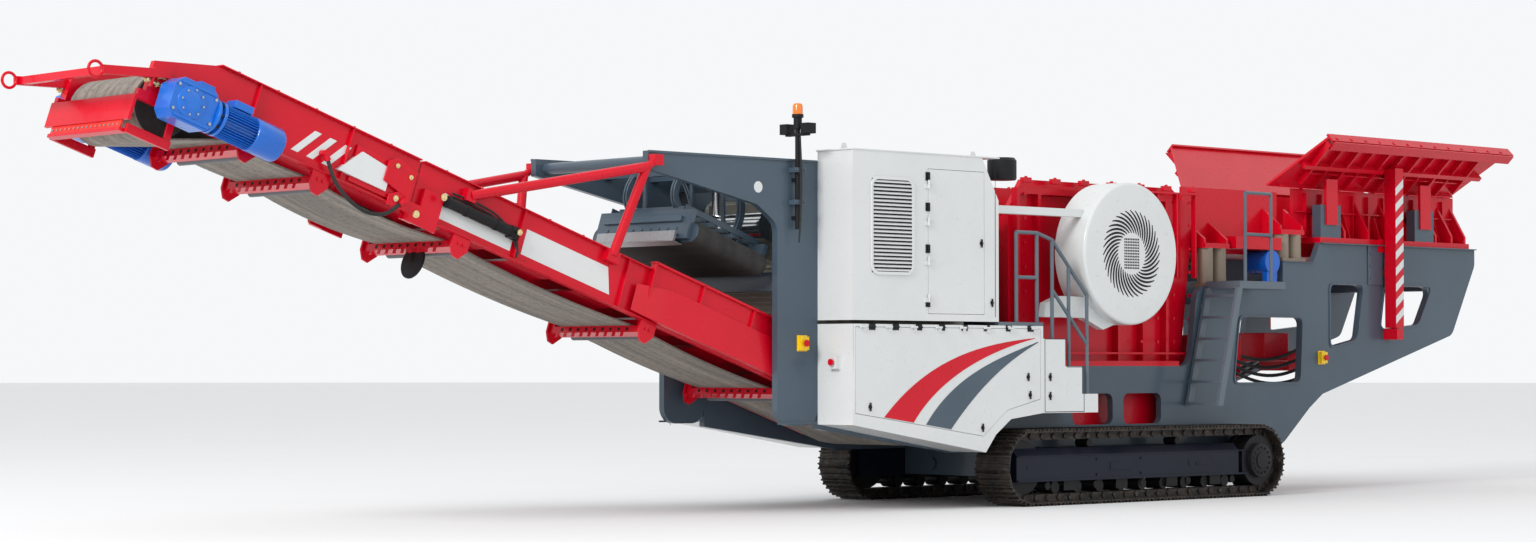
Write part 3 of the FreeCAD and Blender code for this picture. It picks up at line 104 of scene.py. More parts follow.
def capped(points):
    """A tube over a grid whose columns close on themselves, with a flat face on its first and last row."""
    shape, faces = grid(points, wrap_columns=True)
    rows, columns = points.shape[:2]
    ends = np.stack([np.arange(columns)[::-1], (rows - 1) * columns + np.arange(columns)])
    faces = {4: np.vstack([faces[4], ends])} if columns == 4 else {4: faces[4], columns: ends}
    return outward((shape, faces))


def revolve(profile, segments=24):
    """Turns (radius, height) pairs about +Z: x = radius cos a, y = radius sin a, z = height."""
    radius, height = np.array(profile, float).T
    angle = np.linspace(0, 2 * np.pi, segments, endpoint=False)
    points = np.stack([np.outer(radius, np.cos(angle)), np.outer(radius, np.sin(angle)),
                       np.repeat(height[:, None], segments, axis=1)], axis=2)
    return capped(points)


def side_plate(outline, low, high):
    """Carries a closed outline in X and Z from y = low to y = high."""
    outline = np.array(outline, float)
    return capped(np.stack([np.column_stack([outline[:, 0], np.full(len(outline), y), outline[:, 1]])
                            for y in (low, high)]))


print("a turned rod has", len(revolve([(1, 0), (1, 2)])[0]), "points")

# %% [markdown]
# Hoses, cables and bent bars are one section carried along a path. The section turns with the path, so
# that it always stands square to the travel.

# %% Swept shapes
def circle(radius, segments=12):
    """A round section: points at equal angles on a circle."""
    angle = np.linspace(0, 2 * np.pi, segments, endpoint=False)
    return np.column_stack([radius * np.cos(angle), radius * np.sin(angle)])


def sweep(path, section, up=(0, 0, 1)):
    """
    Carries a closed section along a path. At each path point the section's first axis is the way across
    (travel x up) and its second is the way up from the travel line.
    """
    path, section = np.array(path, float), np.array(section, float)
    travel = np.gradient(path, axis=0)
    travel /= np.linalg.norm(travel, axis=1, keepdims=True)
    across = np.cross(travel, np.array(up, float))
    across /= np.linalg.norm(across, axis=1, keepdims=True)
    rise = np.cross(across, travel)
    points = path[:, None] + section[None, :, :1] * across[:, None] + section[None, :, 1:] * rise[:, None]
    return capped(points)


print("a hose section has", len(circle(1.0)), "points")

# %% [markdown]
# A part is easiest to draw at the origin. It is then carried to its place, once or many times, by a
# matrix. The plant is symmetrical, so most parts of its sides are drawn on the near side and mirrored.

# %% Moving and repeating
MIRROR = Matrix.Scale(-1, 4, (0, 1, 0))
ALONG = {"x": Matrix.Rotation(math.pi / 2, 4, "Y"), "y": Matrix.Rotation(-math.pi / 2, 4, "X"),
         "z": Matrix.Identity(4)}


def moved(shape, matrix):
    """The shape carried by a 4 x 4 matrix: each point is turned and then shifted."""
    points, faces = shape
    matrix = np.array(matrix)
    turned = points @ matrix[:3, :3].T + matrix[:3, 3]
    if np.linalg.det(matrix[:3, :3]) < 0:
        faces = {n: f[:, ::-1] for n, f in faces.items()}
    return turned, faces


def joined(shapes):
    """Many shapes as one: points stacked, and each face's numbers raised by the points before it."""
    shapes = list(shapes)
    starts = np.cumsum([0] + [len(points) for points, _ in shapes])
    faces = {}
    for start, (_, part) in zip(starts, shapes):
        for corners, rows in part.items():
            faces.setdefault(corners, []).append(rows + start)
    return np.vstack([points for points, _ in shapes]), {n: np.vstack(rows) for n, rows in faces.items()}


def at(x=0.0, y=0.0, z=0.0, turn=0.0, axis="Z"):
    """A matrix that turns by degrees about one axis and then shifts."""
    return Matrix.Translation((x, y, z)) @ Matrix.Rotation(math.radians(turn), 4, axis)


def copies(shape, matrices):
    """The same shape at every matrix."""
    return joined([moved(shape, matrix) for matrix in matrices])


def both_sides(shape):
    """The shape and its mirror image across the middle plane of the machine."""
    return joined([shape, moved(shape, MIRROR)])


def turned_part(profile, axis, place, segments=24):
    """A revolved part whose height runs along +X, +Y or +Z from a place."""
    return moved(revolve(profile, segments), Matrix.Translation(place) @ ALONG[axis])


def around(shape, count, place, axis="X"):
    """Copies of a part drawn off an axis through the origin, turned round it and moved to a place."""
    turns = (Matrix.Rotation(2 * math.pi * k / count, 4, axis) for k in range(count))
    return copies(shape, [Matrix.Translation(place) @ turn for turn in turns])


def bolt_heads(places, axis="y", radius=0.016, height=0.012, side=-1):
    """Hexagonal bolt heads that stand out from a face at each place."""
    low, high = sorted((0, side * height))
    return joined(turned_part([(radius, low), (radius, high)], axis, spot, 6) for spot in places)


print("two bolts have", len(bolt_heads([(0, 0, 0), (1, 0, 0)])[0]), "points")

# %% [markdown]
# ## From a shape to a piece
# A finished piece is one mesh whose object sits at the origin, with a material and the body
# it rides on. A small Bevel catches light on sheet-metal edges; round pieces are shaded smooth by angle.

# %% Make pieces
MATERIALS = {}
SMOOTH_BELOW = math.radians(35)


def piece(name, shape, material, body="plant", bevel=0.0, replaces=()):
    """
    Puts a shape into a mesh, and tells the frame which body carries it, which slot its material has and
    which nodes it stands in for. A body of None leaves it free, for a piece that crosses a joint.
    """
    points, faces = shape
    mesh = bpy.data.meshes.new(name)
    mesh.from_pydata(points.tolist(), [], [row for rows in faces.values() for row in rows.tolist()])
    mesh.update()
    thing = bpy.data.objects.new(name, mesh)
    bpy.context.collection.objects.link(thing)
    mesh.materials.append(MATERIALS[material])
    mesh.shade_smooth()
    mesh.set_sharp_from_angle(angle=SMOOTH_BELOW)
    if bevel:
        rounding = thing.modifiers.new("edge", "BEVEL")
        rounding.width = bevel
        rounding.segments = 2
        rounding.limit_method = "ANGLE"
        rounding.harden_normals = False
    if body:
        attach(thing, body)
    if replaces:
        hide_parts(*replaces)
    print(f"{name}: {len(points)} points on {body}")
    return thing

# %% [markdown]
# ## Finishes
# A material is a small chain of nodes: patterns make numbers, numbers mix colours, and the result feeds
# one shader. All patterns read Object coordinates in metres, so they stay still on the machine from every
# side.

# %% Material tools
class Recipe:
    """Builds one node material step by step."""

    def __init__(self, name):
        self.material = bpy.data.materials.new(name)
        self.material.use_nodes = True
        self.nodes, self.links = self.material.node_tree.nodes, self.material.node_tree.links
        self.shader = self.nodes["Principled BSDF"]
        self.place = self.nodes.new("ShaderNodeTexCoord").outputs["Object"]
        MATERIALS[name] = self.material

    def add(self, kind, **inputs):
        """A node with its inputs set or linked; an underscore in a name stands for a space."""
        node = self.nodes.new(kind)
        for key, value in inputs.items():
            self.feed(node, key.replace("_", " "), value)
        return node

    def feed(self, node, key, value):
        """Links an input, or sets it where the value is a plain number or colour."""
        socket = node.inputs[int(key) if key.isdigit() else key]
        if isinstance(value, bpy.types.NodeSocket):
            self.links.new(value, socket)
        else:
            socket.default_value = value

    def stretched(self, scale):
        """Object coordinates multiplied by a scale for each axis."""
        node = self.add("ShaderNodeMapping", Vector=self.place)
        node.inputs["Scale"].default_value = scale
        return node.outputs[0]

    def noise(self, scale, detail=3.0, where=None):
        """Soft noise between 0 and 1, with so many waves in a metre."""
        node = self.add("ShaderNodeTexNoise", Vector=where or self.place, Scale=scale, Detail=detail)
        return node.outputs["Fac"]

    def ramp(self, value, low, high):
        """0 below low, 1 above high and a straight line between."""
        node = self.add("ShaderNodeMapRange", Value=value)
        node.inputs["From Min"].default_value, node.inputs["From Max"].default_value = low, high
        node.clamp = True
        return node.outputs[0]

    def math(self, operation, first, second=0.5):
        """One sum on two numbers."""
        node = self.nodes.new("ShaderNodeMath")
        node.operation = operation
        self.feed(node, "0", first)
        self.feed(node, "1", second)
        return node.outputs[0]

    def mix(self, share, first, second):
        """The first colour, with a share of the second."""
        node = self.nodes.new("ShaderNodeMix")
        node.data_type = "RGBA"
        self.feed(node, "0", share)
        for index, colour in ((6, first), (7, second)):
            value = colour if isinstance(colour, bpy.types.NodeSocket) else (*colour, 1)
            self.feed(node, str(index), value)
        return node.outputs[2]

    def bump(self, height, strength, distance=0.002):
        """Tilts the shading by a pattern of heights."""
        node = self.add("ShaderNodeBump", Height=height, Strength=strength, Distance=distance)
        self.links.new(node.outputs[0], self.shader.inputs["Normal"])

    def finish(self, colour, roughness, metallic=0.0, coat=0.0, specular=0.5):
        """Sets the shader's own sockets."""
        self.feed(self.shader, "Base Color", colour)
        self.feed(self.shader, "Roughness", roughness)
        self.shader.inputs["Metallic"].default_value = metallic
        self.shader.inputs["Coat Weight"].default_value = coat
        self.shader.inputs["Specular IOR Level"].default_value = specular
        self.shader.inputs["Coat Roughness"].default_value = 0.08
        return self.material


print("material tools ready")

# %% [markdown]
# Painted steel outdoors is never one flat colour. Each paint mixes its colour with a slightly faded one by
# a large soft noise, lays pale dust where faces look up, and has a fine orange-peel bump.

# %% Paints
DUST = (0.42, 0.39, 0.35)


def upward(recipe):
    """How far a face looks up, from 0 on a wall to 1 on a level top."""
    normal = recipe.nodes.new("ShaderNodeNewGeometry").outputs["Normal"]
    split = recipe.add("ShaderNodeSeparateXYZ", Vector=normal)
    return recipe.ramp(split.outputs["Z"], 0.35, 1.0)


def paint(name, colour, faded, roughness=0.28, coat=0.5, dust=0.25, specular=0.35):
    """Gloss paint with slow fading, dust on upward faces and a fine peel."""
    recipe = Recipe(name)
    base = recipe.mix(recipe.ramp(recipe.noise(0.9, 4), 0.35, 0.7), colour, faded)
    grime = recipe.math("MULTIPLY", recipe.ramp(recipe.noise(5.0, 6), 0.45, 0.80), 0.05)
    base = recipe.mix(grime, base, [c * 0.45 for c in colour])
    lying = recipe.math("MULTIPLY", upward(recipe), recipe.ramp(recipe.noise(3.0, 5), 0.3, 0.8))
    lying = recipe.math("MULTIPLY", lying, dust)
    base = recipe.mix(lying, base, DUST)
    rough = recipe.math("ADD", recipe.math("MULTIPLY", recipe.noise(14.0, 3), 0.16), roughness - 0.08)
    recipe.bump(recipe.noise(90.0, 2), 0.06)
    return recipe.finish(base, rough, coat=coat, specular=specular)


paint("red", (0.56, 0.0, 0.012), (0.62, 0.002, 0.018), roughness=0.30, coat=0.15, dust=0.04, specular=0.22)
paint("slate", (0.052, 0.080, 0.110), (0.064, 0.096, 0.128), roughness=0.36, coat=0.25, dust=0.12)
paint("platform", (0.085, 0.115, 0.145), (0.12, 0.15, 0.18), roughness=0.42, coat=0.1)
paint("white", (0.655, 0.675, 0.672), (0.685, 0.70, 0.695), roughness=0.30, coat=0.3, dust=0.12)
paint("navy", (0.003, 0.005, 0.014), (0.006, 0.009, 0.022), roughness=0.40, coat=0.05, dust=0.08,
      specular=0.2)
paint("blue", (0.0, 0.09, 0.48), (0.005, 0.14, 0.58), roughness=0.3, coat=0.35, dust=0.1)
paint("black", (0.006, 0.006, 0.007), (0.014, 0.014, 0.016), roughness=0.45, coat=0.0, dust=0.06,
      specular=0.2)
paint("yellow", (0.85, 0.55, 0.0), (0.9, 0.62, 0.03), roughness=0.35, coat=0.3)
paint("beige", (0.42, 0.40, 0.34), (0.50, 0.47, 0.40), roughness=0.5, coat=0.0, dust=0.5)
paint("orange", (0.75, 0.16, 0.0), (0.85, 0.22, 0.01), roughness=0.15, coat=0.8, dust=0.0)
paint("apron", (0.68, 0.020, 0.014), (0.78, 0.050, 0.03), roughness=0.45, coat=0.0, dust=0.1)
paint("spring", (0.20, 0.155, 0.115), (0.28, 0.225, 0.17), roughness=0.42, coat=0.0, dust=0.3)
print("paints:", len(MATERIALS))

# %% [markdown]
# Bare metals and rubbers need their own recipes. Track steel is brown-black with rust in its hollows and
# polished where it touches the ground. The belt carries stone, so streaks of dust run along it.

# %% Metals and rubbers
def track_steel():
    """Dark worn steel: rust by noise, bright patches by a finer noise, and a pitted bump."""
    recipe = Recipe("track_steel")
    rust = recipe.ramp(recipe.noise(7.0, 8), 0.40, 0.70)
    base = recipe.mix(rust, (0.018, 0.016, 0.015), (0.050, 0.036, 0.027))
    base = recipe.mix(recipe.ramp(recipe.noise(30.0, 6), 0.55, 0.8), base, (0.13, 0.115, 0.10))
    recipe.bump(recipe.noise(120.0, 4), 0.35)
    return recipe.finish(base, recipe.ramp(recipe.noise(18.0, 5), 1.1, 0.0), metallic=0.45)


def belt_rubber(name, colour, dusty, streak):
    """Rubber with dust streaks that follow the belt, made by squeezing a noise across the travel."""
    recipe = Recipe(name)
    along = recipe.noise(1.0, 6, recipe.stretched(streak))
    base = recipe.mix(recipe.ramp(along, 0.30, 0.72), colour, dusty)
    base = recipe.mix(recipe.ramp(recipe.noise(22.0, 5), 0.5, 0.85), base, [c * 0.55 for c in colour])
    recipe.bump(recipe.noise(220.0, 3), 0.25)
    return recipe.finish(base, 0.78)


def bright_metal(name, colour, roughness, metallic=1.0):
    """Plated or polished metal, with a brushed variation in its roughness."""
    recipe = Recipe(name)
    brushed = recipe.noise(1.0, 4, recipe.stretched((60.0, 60.0, 6.0)))
    base = recipe.mix(recipe.ramp(brushed, 0.3, 0.8), colour, [c * 0.8 for c in colour])
    rough = recipe.math("ADD", recipe.math("MULTIPLY", brushed, 0.2), roughness - 0.1)
    recipe.bump(brushed, 0.05)
    return recipe.finish(base, rough, metallic=metallic)


track_steel()
belt_rubber("belt", (0.145, 0.128, 0.112), (0.30, 0.265, 0.225), (0.5, 9.0, 0.5))
belt_rubber("magnet_rubber", (0.010, 0.010, 0.011), (0.032, 0.029, 0.026), (9.0, 0.5, 0.5))
belt_rubber("hose", (0.012, 0.012, 0.013), (0.03, 0.028, 0.026), (2.0, 2.0, 2.0))
bright_metal("chrome", (0.72, 0.72, 0.73), 0.16)
bright_metal("zinc", (0.78, 0.66, 0.34), 0.34)
bright_metal("steel", (0.46, 0.46, 0.47), 0.35)
bright_metal("roller", (0.10, 0.10, 0.11), 0.42, metallic=0.3)
print("materials:", len(MATERIALS))

# %% [markdown]
# ## Dress the frame
# Each node takes the finish of its real part. Its mesh already has the right shape, so only its material
# and its shading change.

# %% Finish for each node
FINISH = {
    "red": "hopper_sides hopper_rear wing_near wing_far wing_props feeder_trough crusher_sides crusher_jaws "
           "tail_crossbars tail_stringers head_stringers head_frame tail_lugs conveyor_struts",
    "slate": "main_beam_near main_beam_far portal_near portal_far cross_members magnet_frame cross_frame",
    "white": "engine_cabinet engine_door far_cabinet pump_cabinet pump_flap flywheel_guards",
    "navy": "track_beams", "black": "track_wheels fold_cylinders beacon_mast", "beige": "engine_housing",
    "track_steel": "track_chain_near track_chain_far", "platform": "walkways railings",
    "spring": "feeder_springs", "blue": "gearmotors vibrator", "chrome": "silencer",
    "belt": "tail_belt head_belt", "magnet_rubber": "magnet_belt head_drum", "hose": "fold_hoses",
}
for material, nodes in FINISH.items():
    for node in nodes.split():
        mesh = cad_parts[node].data
        mesh.materials.clear()
        mesh.materials.append(MATERIALS[material])
        mesh.set_sharp_from_angle(angle=SMOOTH_BELOW)
print("finished nodes:", sum(len(nodes.split()) for nodes in FINISH.values()))

# %% [markdown]
# One node has two finishes: the props of the wings are red, and the sockets that they stand in are painted
# like the chassis. A face's material is a number, so the faces of the sockets are picked by where their
# middles lie.

# %% Prop sockets
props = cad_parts["wing_props"].data
props.materials.append(MATERIALS["slate"])
middles = np.array([face.center for face in props.polygons])
SOCKET_TOP, SOCKET_Y = 3.60, (0.80, 0.945)
away = np.abs(middles[:, 1])
sockets = (middles[:, 2] < SOCKET_TOP) & (away > SOCKET_Y[0]) & (away < SOCKET_Y[1])
props.polygons.foreach_set("material_index", sockets.astype(np.int32))
print("socket faces:", int(sockets.sum()))

# %% [markdown]
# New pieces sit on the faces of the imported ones, so these faces are read from the frame. All are on the
# near side, at negative Y. The conveyor has a frame of its own: its origin is the fold's pin, its first
# axis runs down the belt and its third stands square to the belt.

# %% Faces and the slope
CABINET_FACE = -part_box("far_cabinet")[1][1]
BEAM_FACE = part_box("main_beam_near")[0][1]
TRACK_BEAM_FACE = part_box("track_beams")[0][1]
STRINGER_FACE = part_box("head_stringers")[0][1]
FOLD, DEGREES = Vector((-7.175, 0, 3.0)), 18.6
SLOPE = Matrix.Translation(FOLD) @ Matrix.Rotation(math.radians(DEGREES), 4, "Y")
print("cabinet face", round(CABINET_FACE, 4), "beam face", round(BEAM_FACE, 4), "fold at", tuple(FOLD))

# %% [markdown]
# ## Tracks
# Each track is a closed chain of identical shoes. A shoe is one profile, a flat plate with three grousers,
# carried across the width. The places of the shoes come from walking round the oval at equal steps.

# %% Places round the track
AXLES, AXLE_HEIGHT = (0.855, 4.965), 0.430
TRACK_MIDDLE = (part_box("track_chain_near")[0][1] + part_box("track_chain_near")[1][1]) / 2
SHOES, CHAIN_RADIUS, WRAP = 56, 0.404, 0.006


def round_the_oval(count, radius):
    """
    Places at equal steps round two wheels: along the ground forwards, over the front wheel, back along the
    top and over the rear wheel. Each place's Z axis points away from the chain.
    """
    straight, arc = AXLES[1] - AXLES[0], math.pi * radius
    for step in np.linspace(0, 2 * (straight + arc), count, endpoint=False):
        if step < straight:
            x, z, turn = AXLES[1] - step, AXLE_HEIGHT - radius, 180
        elif step < straight + arc:
            x, z, turn = AXLES[0], AXLE_HEIGHT, 180 + 180 * (step - straight) / arc
        elif step < 2 * straight + arc:
            x, z, turn = AXLES[0] + step - straight - arc, AXLE_HEIGHT + radius, 360
        else:
            x, z, turn = AXLES[1], AXLE_HEIGHT, 180 * (step - 2 * straight - arc) / arc
        if z == AXLE_HEIGHT:
            x += (radius - WRAP) * math.sin(math.radians(turn))
            z += (radius - WRAP) * math.cos(math.radians(turn))
        yield at(x, TRACK_MIDDLE, z, turn, "Y")


places = list(round_the_oval(SHOES, CHAIN_RADIUS))
print("shoes in one track:", len(places))

# %% [markdown]
# Under each shoe run two link plates and one pin, which make the chain. One shoe with its link is drawn
# once and copied to every place.

# %% Track shoes and links
shoe_half, shoe_thick, grouser, track_half = 0.093, 0.016, 0.026, 0.25
shoe = [(-shoe_half, -shoe_thick), (shoe_half, -shoe_thick), (shoe_half, 0.0)]
for middle in (0.072, 0.0, -0.072):
    shoe += [(middle + 0.013, 0.0), (middle + 0.007, grouser), (middle - 0.007, grouser),
             (middle - 0.013, 0.0)]
shoe.append((-shoe_half, 0.0))
link = joined(block((-0.090, side * 0.095 - 0.022, -0.100), (0.090, side * 0.095 + 0.022, -shoe_thick))
              for side in (-1, 1))
pin = turned_part([(0.030, -0.135), (0.030, 0.135)], "y", (0.090, 0, -0.062), 8)
piece("track_shoes", both_sides(copies(side_plate(shoe, -track_half, track_half), places)), "track_steel",
      replaces=("track_chain_near", "track_chain_far"))
piece("track_links", both_sides(copies(joined([link, pin]), places)), "track_steel")

# %% [markdown]
# The drive wheel at the rear has teeth that reach between the links. Its hub is a stepped disc that
# carries a ring of bolts, and each tooth is drawn once and turned round the axle.

# %% Drive wheels
TEETH, HUB_BOLTS = 21, 14
hub_face, bolt_face = -1.452, -1.482
tooth = side_plate([(-0.045, -0.09), (0.045, -0.09), (0.022, 0.0), (-0.022, 0.0)], -0.03, 0.03)
hub = turned_part([(0.205, 0), (0.205, 0.018), (0.185, 0.030), (0.10, 0.030), (0.10, 0.042), (0.02, 0.045)],
                  "y", (0, 0, 0), 36)
hub_bolt = moved(revolve([(0.014, 0), (0.014, 0.012)], 6), ALONG["y"] @ Matrix.Rotation(math.pi, 4, "X"))
drive = [around(moved(tooth, at(z=0.335)), TEETH, (AXLES[1], -1.20, AXLE_HEIGHT), "Y"),
         moved(hub, at(AXLES[1], hub_face, AXLE_HEIGHT, 180)),
         around(moved(hub_bolt, at(z=0.155)), HUB_BOLTS, (AXLES[1], bolt_face, AXLE_HEIGHT), "Y")]
piece("drive_wheels", both_sides(joined(drive)), "black")

# %% [markdown]
# The beam between the wheels has a lip along its top and bottom, cover plates and a few bolts. Its rollers
# turn behind guards that keep the chain on its line.

# %% Track frame details
def on_track_beam(x, z, proud=0.008):
    """A flat plate over a range of X and Z on the track beam's face, slightly sunk into it."""
    return block((x[0], TRACK_BEAM_FACE - proud, z[0]), (x[1], TRACK_BEAM_FACE + 0.002, z[1]))


beam = [on_track_beam((0.68, 4.78), (0.548, 0.562), 0.014),
        on_track_beam((0.68, 4.78), (0.268, 0.290), 0.014),
        on_track_beam((4.66, 4.68), (0.29, 0.55)), on_track_beam((2.25, 2.62), (0.37, 0.47), 0.006),
        on_track_beam((3.66, 3.74), (0.39, 0.46), 0.006), on_track_beam((3.80, 4.02), (0.40, 0.44), 0.006),
        bolt_heads([(x, TRACK_BEAM_FACE, z) for x in (2.02, 2.80) for z in (0.33, 0.50)]),
        turned_part([(0.030, -1.424), (0.030, -1.41)], "y", (0.86, 0, 0.43), 16)]
piece("beam_fittings", both_sides(joined(beam)), "navy", bevel=0.003)
guides = [block((x - 0.10, -1.38, 0.16), (x + 0.10, -1.36, 0.30)) for x in (1.6, 2.5, 3.4, 4.2)]
guides += [turned_part([(0.045, -1.36), (0.045, -1.12)], "y", (x, 0, 0.215), 12)
           for x in np.linspace(1.25, 4.55, 9)]
piece("roller_guards", both_sides(joined(guides)), "black")

# %% [markdown]
# ## The conveyor belts
# The discharge belt is one closed band. Its path runs up over the carrying idlers, round the head drum,
# back beneath between the cross bars, where it sags as a shallow parabola, and round the tail drum.

# %% The belt's path
COS, SIN = math.cos(math.radians(DEGREES)), math.sin(math.radians(DEGREES))
CARRY, RETURN = 0.311, -0.019


def on_slope(reach, height):
    """Points of the conveyor's frame in X and Z: the fold, plus reach down the slope, plus height off it."""
    reach, height = np.asarray(reach, float), np.asarray(height, float)
    return np.stack([FOLD.x + reach * COS + height * SIN, FOLD.z - reach * SIN + height * COS], axis=-1)


def arc_about(centre, radius, start, end, count):
    """Points on a circle from one angle to another, in degrees from +X towards +Z."""
    angle = np.radians(np.linspace(start, end, count))
    return np.array(centre) + radius * np.column_stack([np.cos(angle), np.sin(angle)])


def sagging(first, last, drop, count):
    """A span of the return run between two bars, less a parabola that is drop deep halfway."""
    share = np.linspace(0, 1, count, endpoint=False)
    return on_slope(first + (last - first) * share, RETURN - 4 * drop * share * (1 - share))


head, head_radius = on_slope(-2.751, 0.0164), 0.2946
tail, tail_radius = np.array([4.6, 0.851]), 0.165
carry = np.vstack([np.column_stack([np.linspace(tail[0], 0.0, 24), np.full(24, tail[1] + tail_radius)]),
                   on_slope(np.linspace(6.9, -2.7, 60), CARRY)])
back = [sagging(-2.03, -1.05, 0.02, 8), sagging(-1.05, 0.67, 0.06, 14), sagging(0.67, 3.19, 0.05, 18),
        sagging(3.19, 5.22, 0.04, 16), on_slope(np.linspace(5.22, 7.1, 8), RETURN),
        np.column_stack([np.linspace(-0.2, 4.5, 20), np.full(20, tail[1] - tail_radius)])]
turn_start = 90 - DEGREES
path = np.vstack([carry, arc_about(head, head_radius, turn_start, turn_start + 202, 26), *back,
                  arc_about(tail, tail_radius, -85, 85, 12)])
print("belt length", round(float(np.linalg.norm(np.diff(path, axis=0), axis=1).sum()), 2))

# %% [markdown]
# The carrying side is troughed: its edges rise, so that stone stays in the middle. Near the drums it
# flattens. The belt passes the fold, so it rides on neither body.

# %% Discharge belt
half_width, thickness, trough, fading = 0.550, 0.018, 0.09, 10.0
raised = np.zeros(len(path))
steps = np.arange(len(carry))
raised[:len(carry)] = np.clip(np.minimum(steps, steps[::-1]) / fading, 0, 1)


def belt_band():
    """
    A closed band: across the belt, y runs from edge to edge on the outer face and back on the inner one.
    Each point is moved off the path's line by half the thickness and by the trough, which grows as the
    square of the distance from the middle.
    """
    travel = np.roll(path, -1, axis=0) - np.roll(path, 1, axis=0)
    travel /= np.linalg.norm(travel, axis=1, keepdims=True)
    away = np.column_stack([travel[:, 1], -travel[:, 0]])
    y = np.linspace(-half_width, half_width, 9)
    y, off = np.concatenate([y, y[::-1]]), np.repeat([thickness / 2, -thickness / 2], 9)
    lift = off[None, :] + trough * raised[:, None] * (y / half_width)[None, :] ** 2
    x = path[:, 0, None] + away[:, 0, None] * lift
    z = path[:, 1, None] + away[:, 1, None] * lift
    points = np.stack([x, np.broadcast_to(y, x.shape), z], axis=2)
    return outward(grid(points, wrap_rows=True, wrap_columns=True))


belt = piece("discharge_belt", belt_band(), "belt", body=None)
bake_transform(belt)
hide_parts("tail_belt", "head_belt")

# %% [markdown]
# ## The conveyor's frame
# The stringers are channels, so a flange runs along their top and bottom edges, held by small bolts and
# upright ribs.

# %% Stringer flanges
TOP_FLANGE, LOW_FLANGE = 0.545, 0.023


def slope_box(low, high):
    """A box whose corners are given in the conveyor's frame."""
    return moved(block(low, high), SLOPE)


def flange(first, last, height, inner=0.66, outer=0.765):
    """A flange along one edge of a stringer."""
    return slope_box((first, -outer, height), (last, -inner, height + 0.012))


def flange_bolts(first, last):
    """A row of bolts on the top flange."""
    return moved(bolt_heads([(u, -0.742, TOP_FLANGE + 0.012) for u in np.arange(first, last, 0.45)],
                            "z", 0.014, 0.012, 1), SLOPE)


def stringer_rib(u):
    """An upright rib between the two flanges."""
    return slope_box((u, -0.762, 0.05), (u + 0.012, -0.72, 0.54))


tail_flanges = [flange(0.02, 3.06, TOP_FLANGE), flange(0.35, 7.0, LOW_FLANGE), stringer_rib(1.32),
                stringer_rib(2.74), flange_bolts(0.3, 3.0)]
head_flanges = [flange(-2.40, -0.02, TOP_FLANGE), flange(-2.10, -0.02, LOW_FLANGE), flange_bolts(-2.2, -0.1),
                stringer_rib(-1.95), stringer_rib(-0.86)]
piece("tail_flanges", both_sides(joined(tail_flanges)), "red", bevel=0.002)
piece("head_flanges", both_sides(joined(head_flanges)), "red", body="head_section",
      bevel=0.002)

# %% [markdown]
# Each cross bar is a folded plate pierced by a row of holes, with tabs below it and a lug at each end for
# the return roller's shaft. The holes are thin dark discs on its front face, which paint the shade inside
# them.

# %% Cross bars
BARS = {"tail": ("plant", (0.600, 3.120, 5.150)), "head": ("head_section", (-1.970, -1.130))}
BAR_HOLES = np.linspace(-0.52, 0.52, 9)


def bar_details(reach):
    """Tabs under a bar, a rounded lug at each end and the lug's nuts, in the conveyor's frame."""
    tabs = [block((reach - 0.006, y + 0.06 - 0.022, -0.150), (reach, y + 0.06 + 0.022, -0.100))
            for y in BAR_HOLES]
    lug = side_plate([(-0.03, 0.03), (-0.03, -0.10), (0.02, -0.19), (0.09, -0.20), (0.18, -0.10),
                      (0.18, 0.03)], -0.012, 0.012)
    lugs = [moved(lug, at(reach, side * 0.735, 0.0)) for side in (-1, 1)]
    nuts = bolt_heads([(reach + 0.05, -0.748, -0.05), (reach + 0.11, -0.748, -0.05)], radius=0.018)
    return joined([*tabs, *lugs, nuts])


def bar_holes(reach):
    """Thin dark discs that paint the shade inside the holes of one cross bar."""
    return joined(turned_part([(0.019, reach - 0.004), (0.019, reach)], "x", (0, y, -0.069), 12)
                  for y in BAR_HOLES)


def return_roller(reach):
    """The roller that carries the belt back, behind its cross bar."""
    return turned_part([(0.044, -0.56), (0.044, 0.56)], "y", (reach + 0.20, 0, -0.073), 20)


for name, (body, reaches) in BARS.items():
    piece(f"{name}_bar_plates", moved(joined(bar_details(u) for u in reaches), SLOPE), "red", body=body)
    # Dark discs of painted shade for the cross bars' holes.
    piece(f"{name}_bar_holes", moved(joined(bar_holes(u) for u in reaches), SLOPE), "black", body=body)
    piece(f"{name}_return_rollers", moved(joined(return_roller(u) for u in reaches), SLOPE), "roller",
          body=body)

# %% [markdown]
# Thin painted panels and slanted bars mark the sides of the conveyor. They are separate plates, so that
# their edges stay crisp however close the view.

# %% Side panels
def panel(outline):
    """A plate three millimetres thick on a stringer's face, from an outline in the conveyor's frame."""
    return moved(side_plate(outline, STRINGER_FACE - 0.0035, STRINGER_FACE - 0.0005), SLOPE)


slanted = [(-1.44, 0.11), (-1.36, 0.11), (-1.16, 0.37), (-1.24, 0.37)]
marks = [panel([(u + 0.18 * k, w) for u, w in slanted]) for k in range(3)]
cover = side_plate([(-0.92, 0.11), (-0.34, 0.11), (-0.34, 0.33), (-0.70, 0.37)], -0.771, -0.722)
piece("head_panels", both_sides(joined([*marks, moved(cover, SLOPE)])), "white", body="head_section")
marks = [panel([(0.36, 0.10), (1.28, 0.10), (1.28, 0.22), (0.36, 0.36)]),
         panel([(1.42, 0.12), (2.62, 0.12), (2.52, 0.38), (1.42, 0.38)])]
piece("tail_panels", both_sides(joined(marks)), "white")

# %% [markdown]
# Near its feed end the conveyor has flared skirts, which catch stone that spills under the crusher. A
# skirt is a wedge with ribs on its back and a rail along its top.

# %% Flared skirts
SKIRT_START, SKIRT_FULL, SKIRT_END = 2.90, 3.36, 5.24


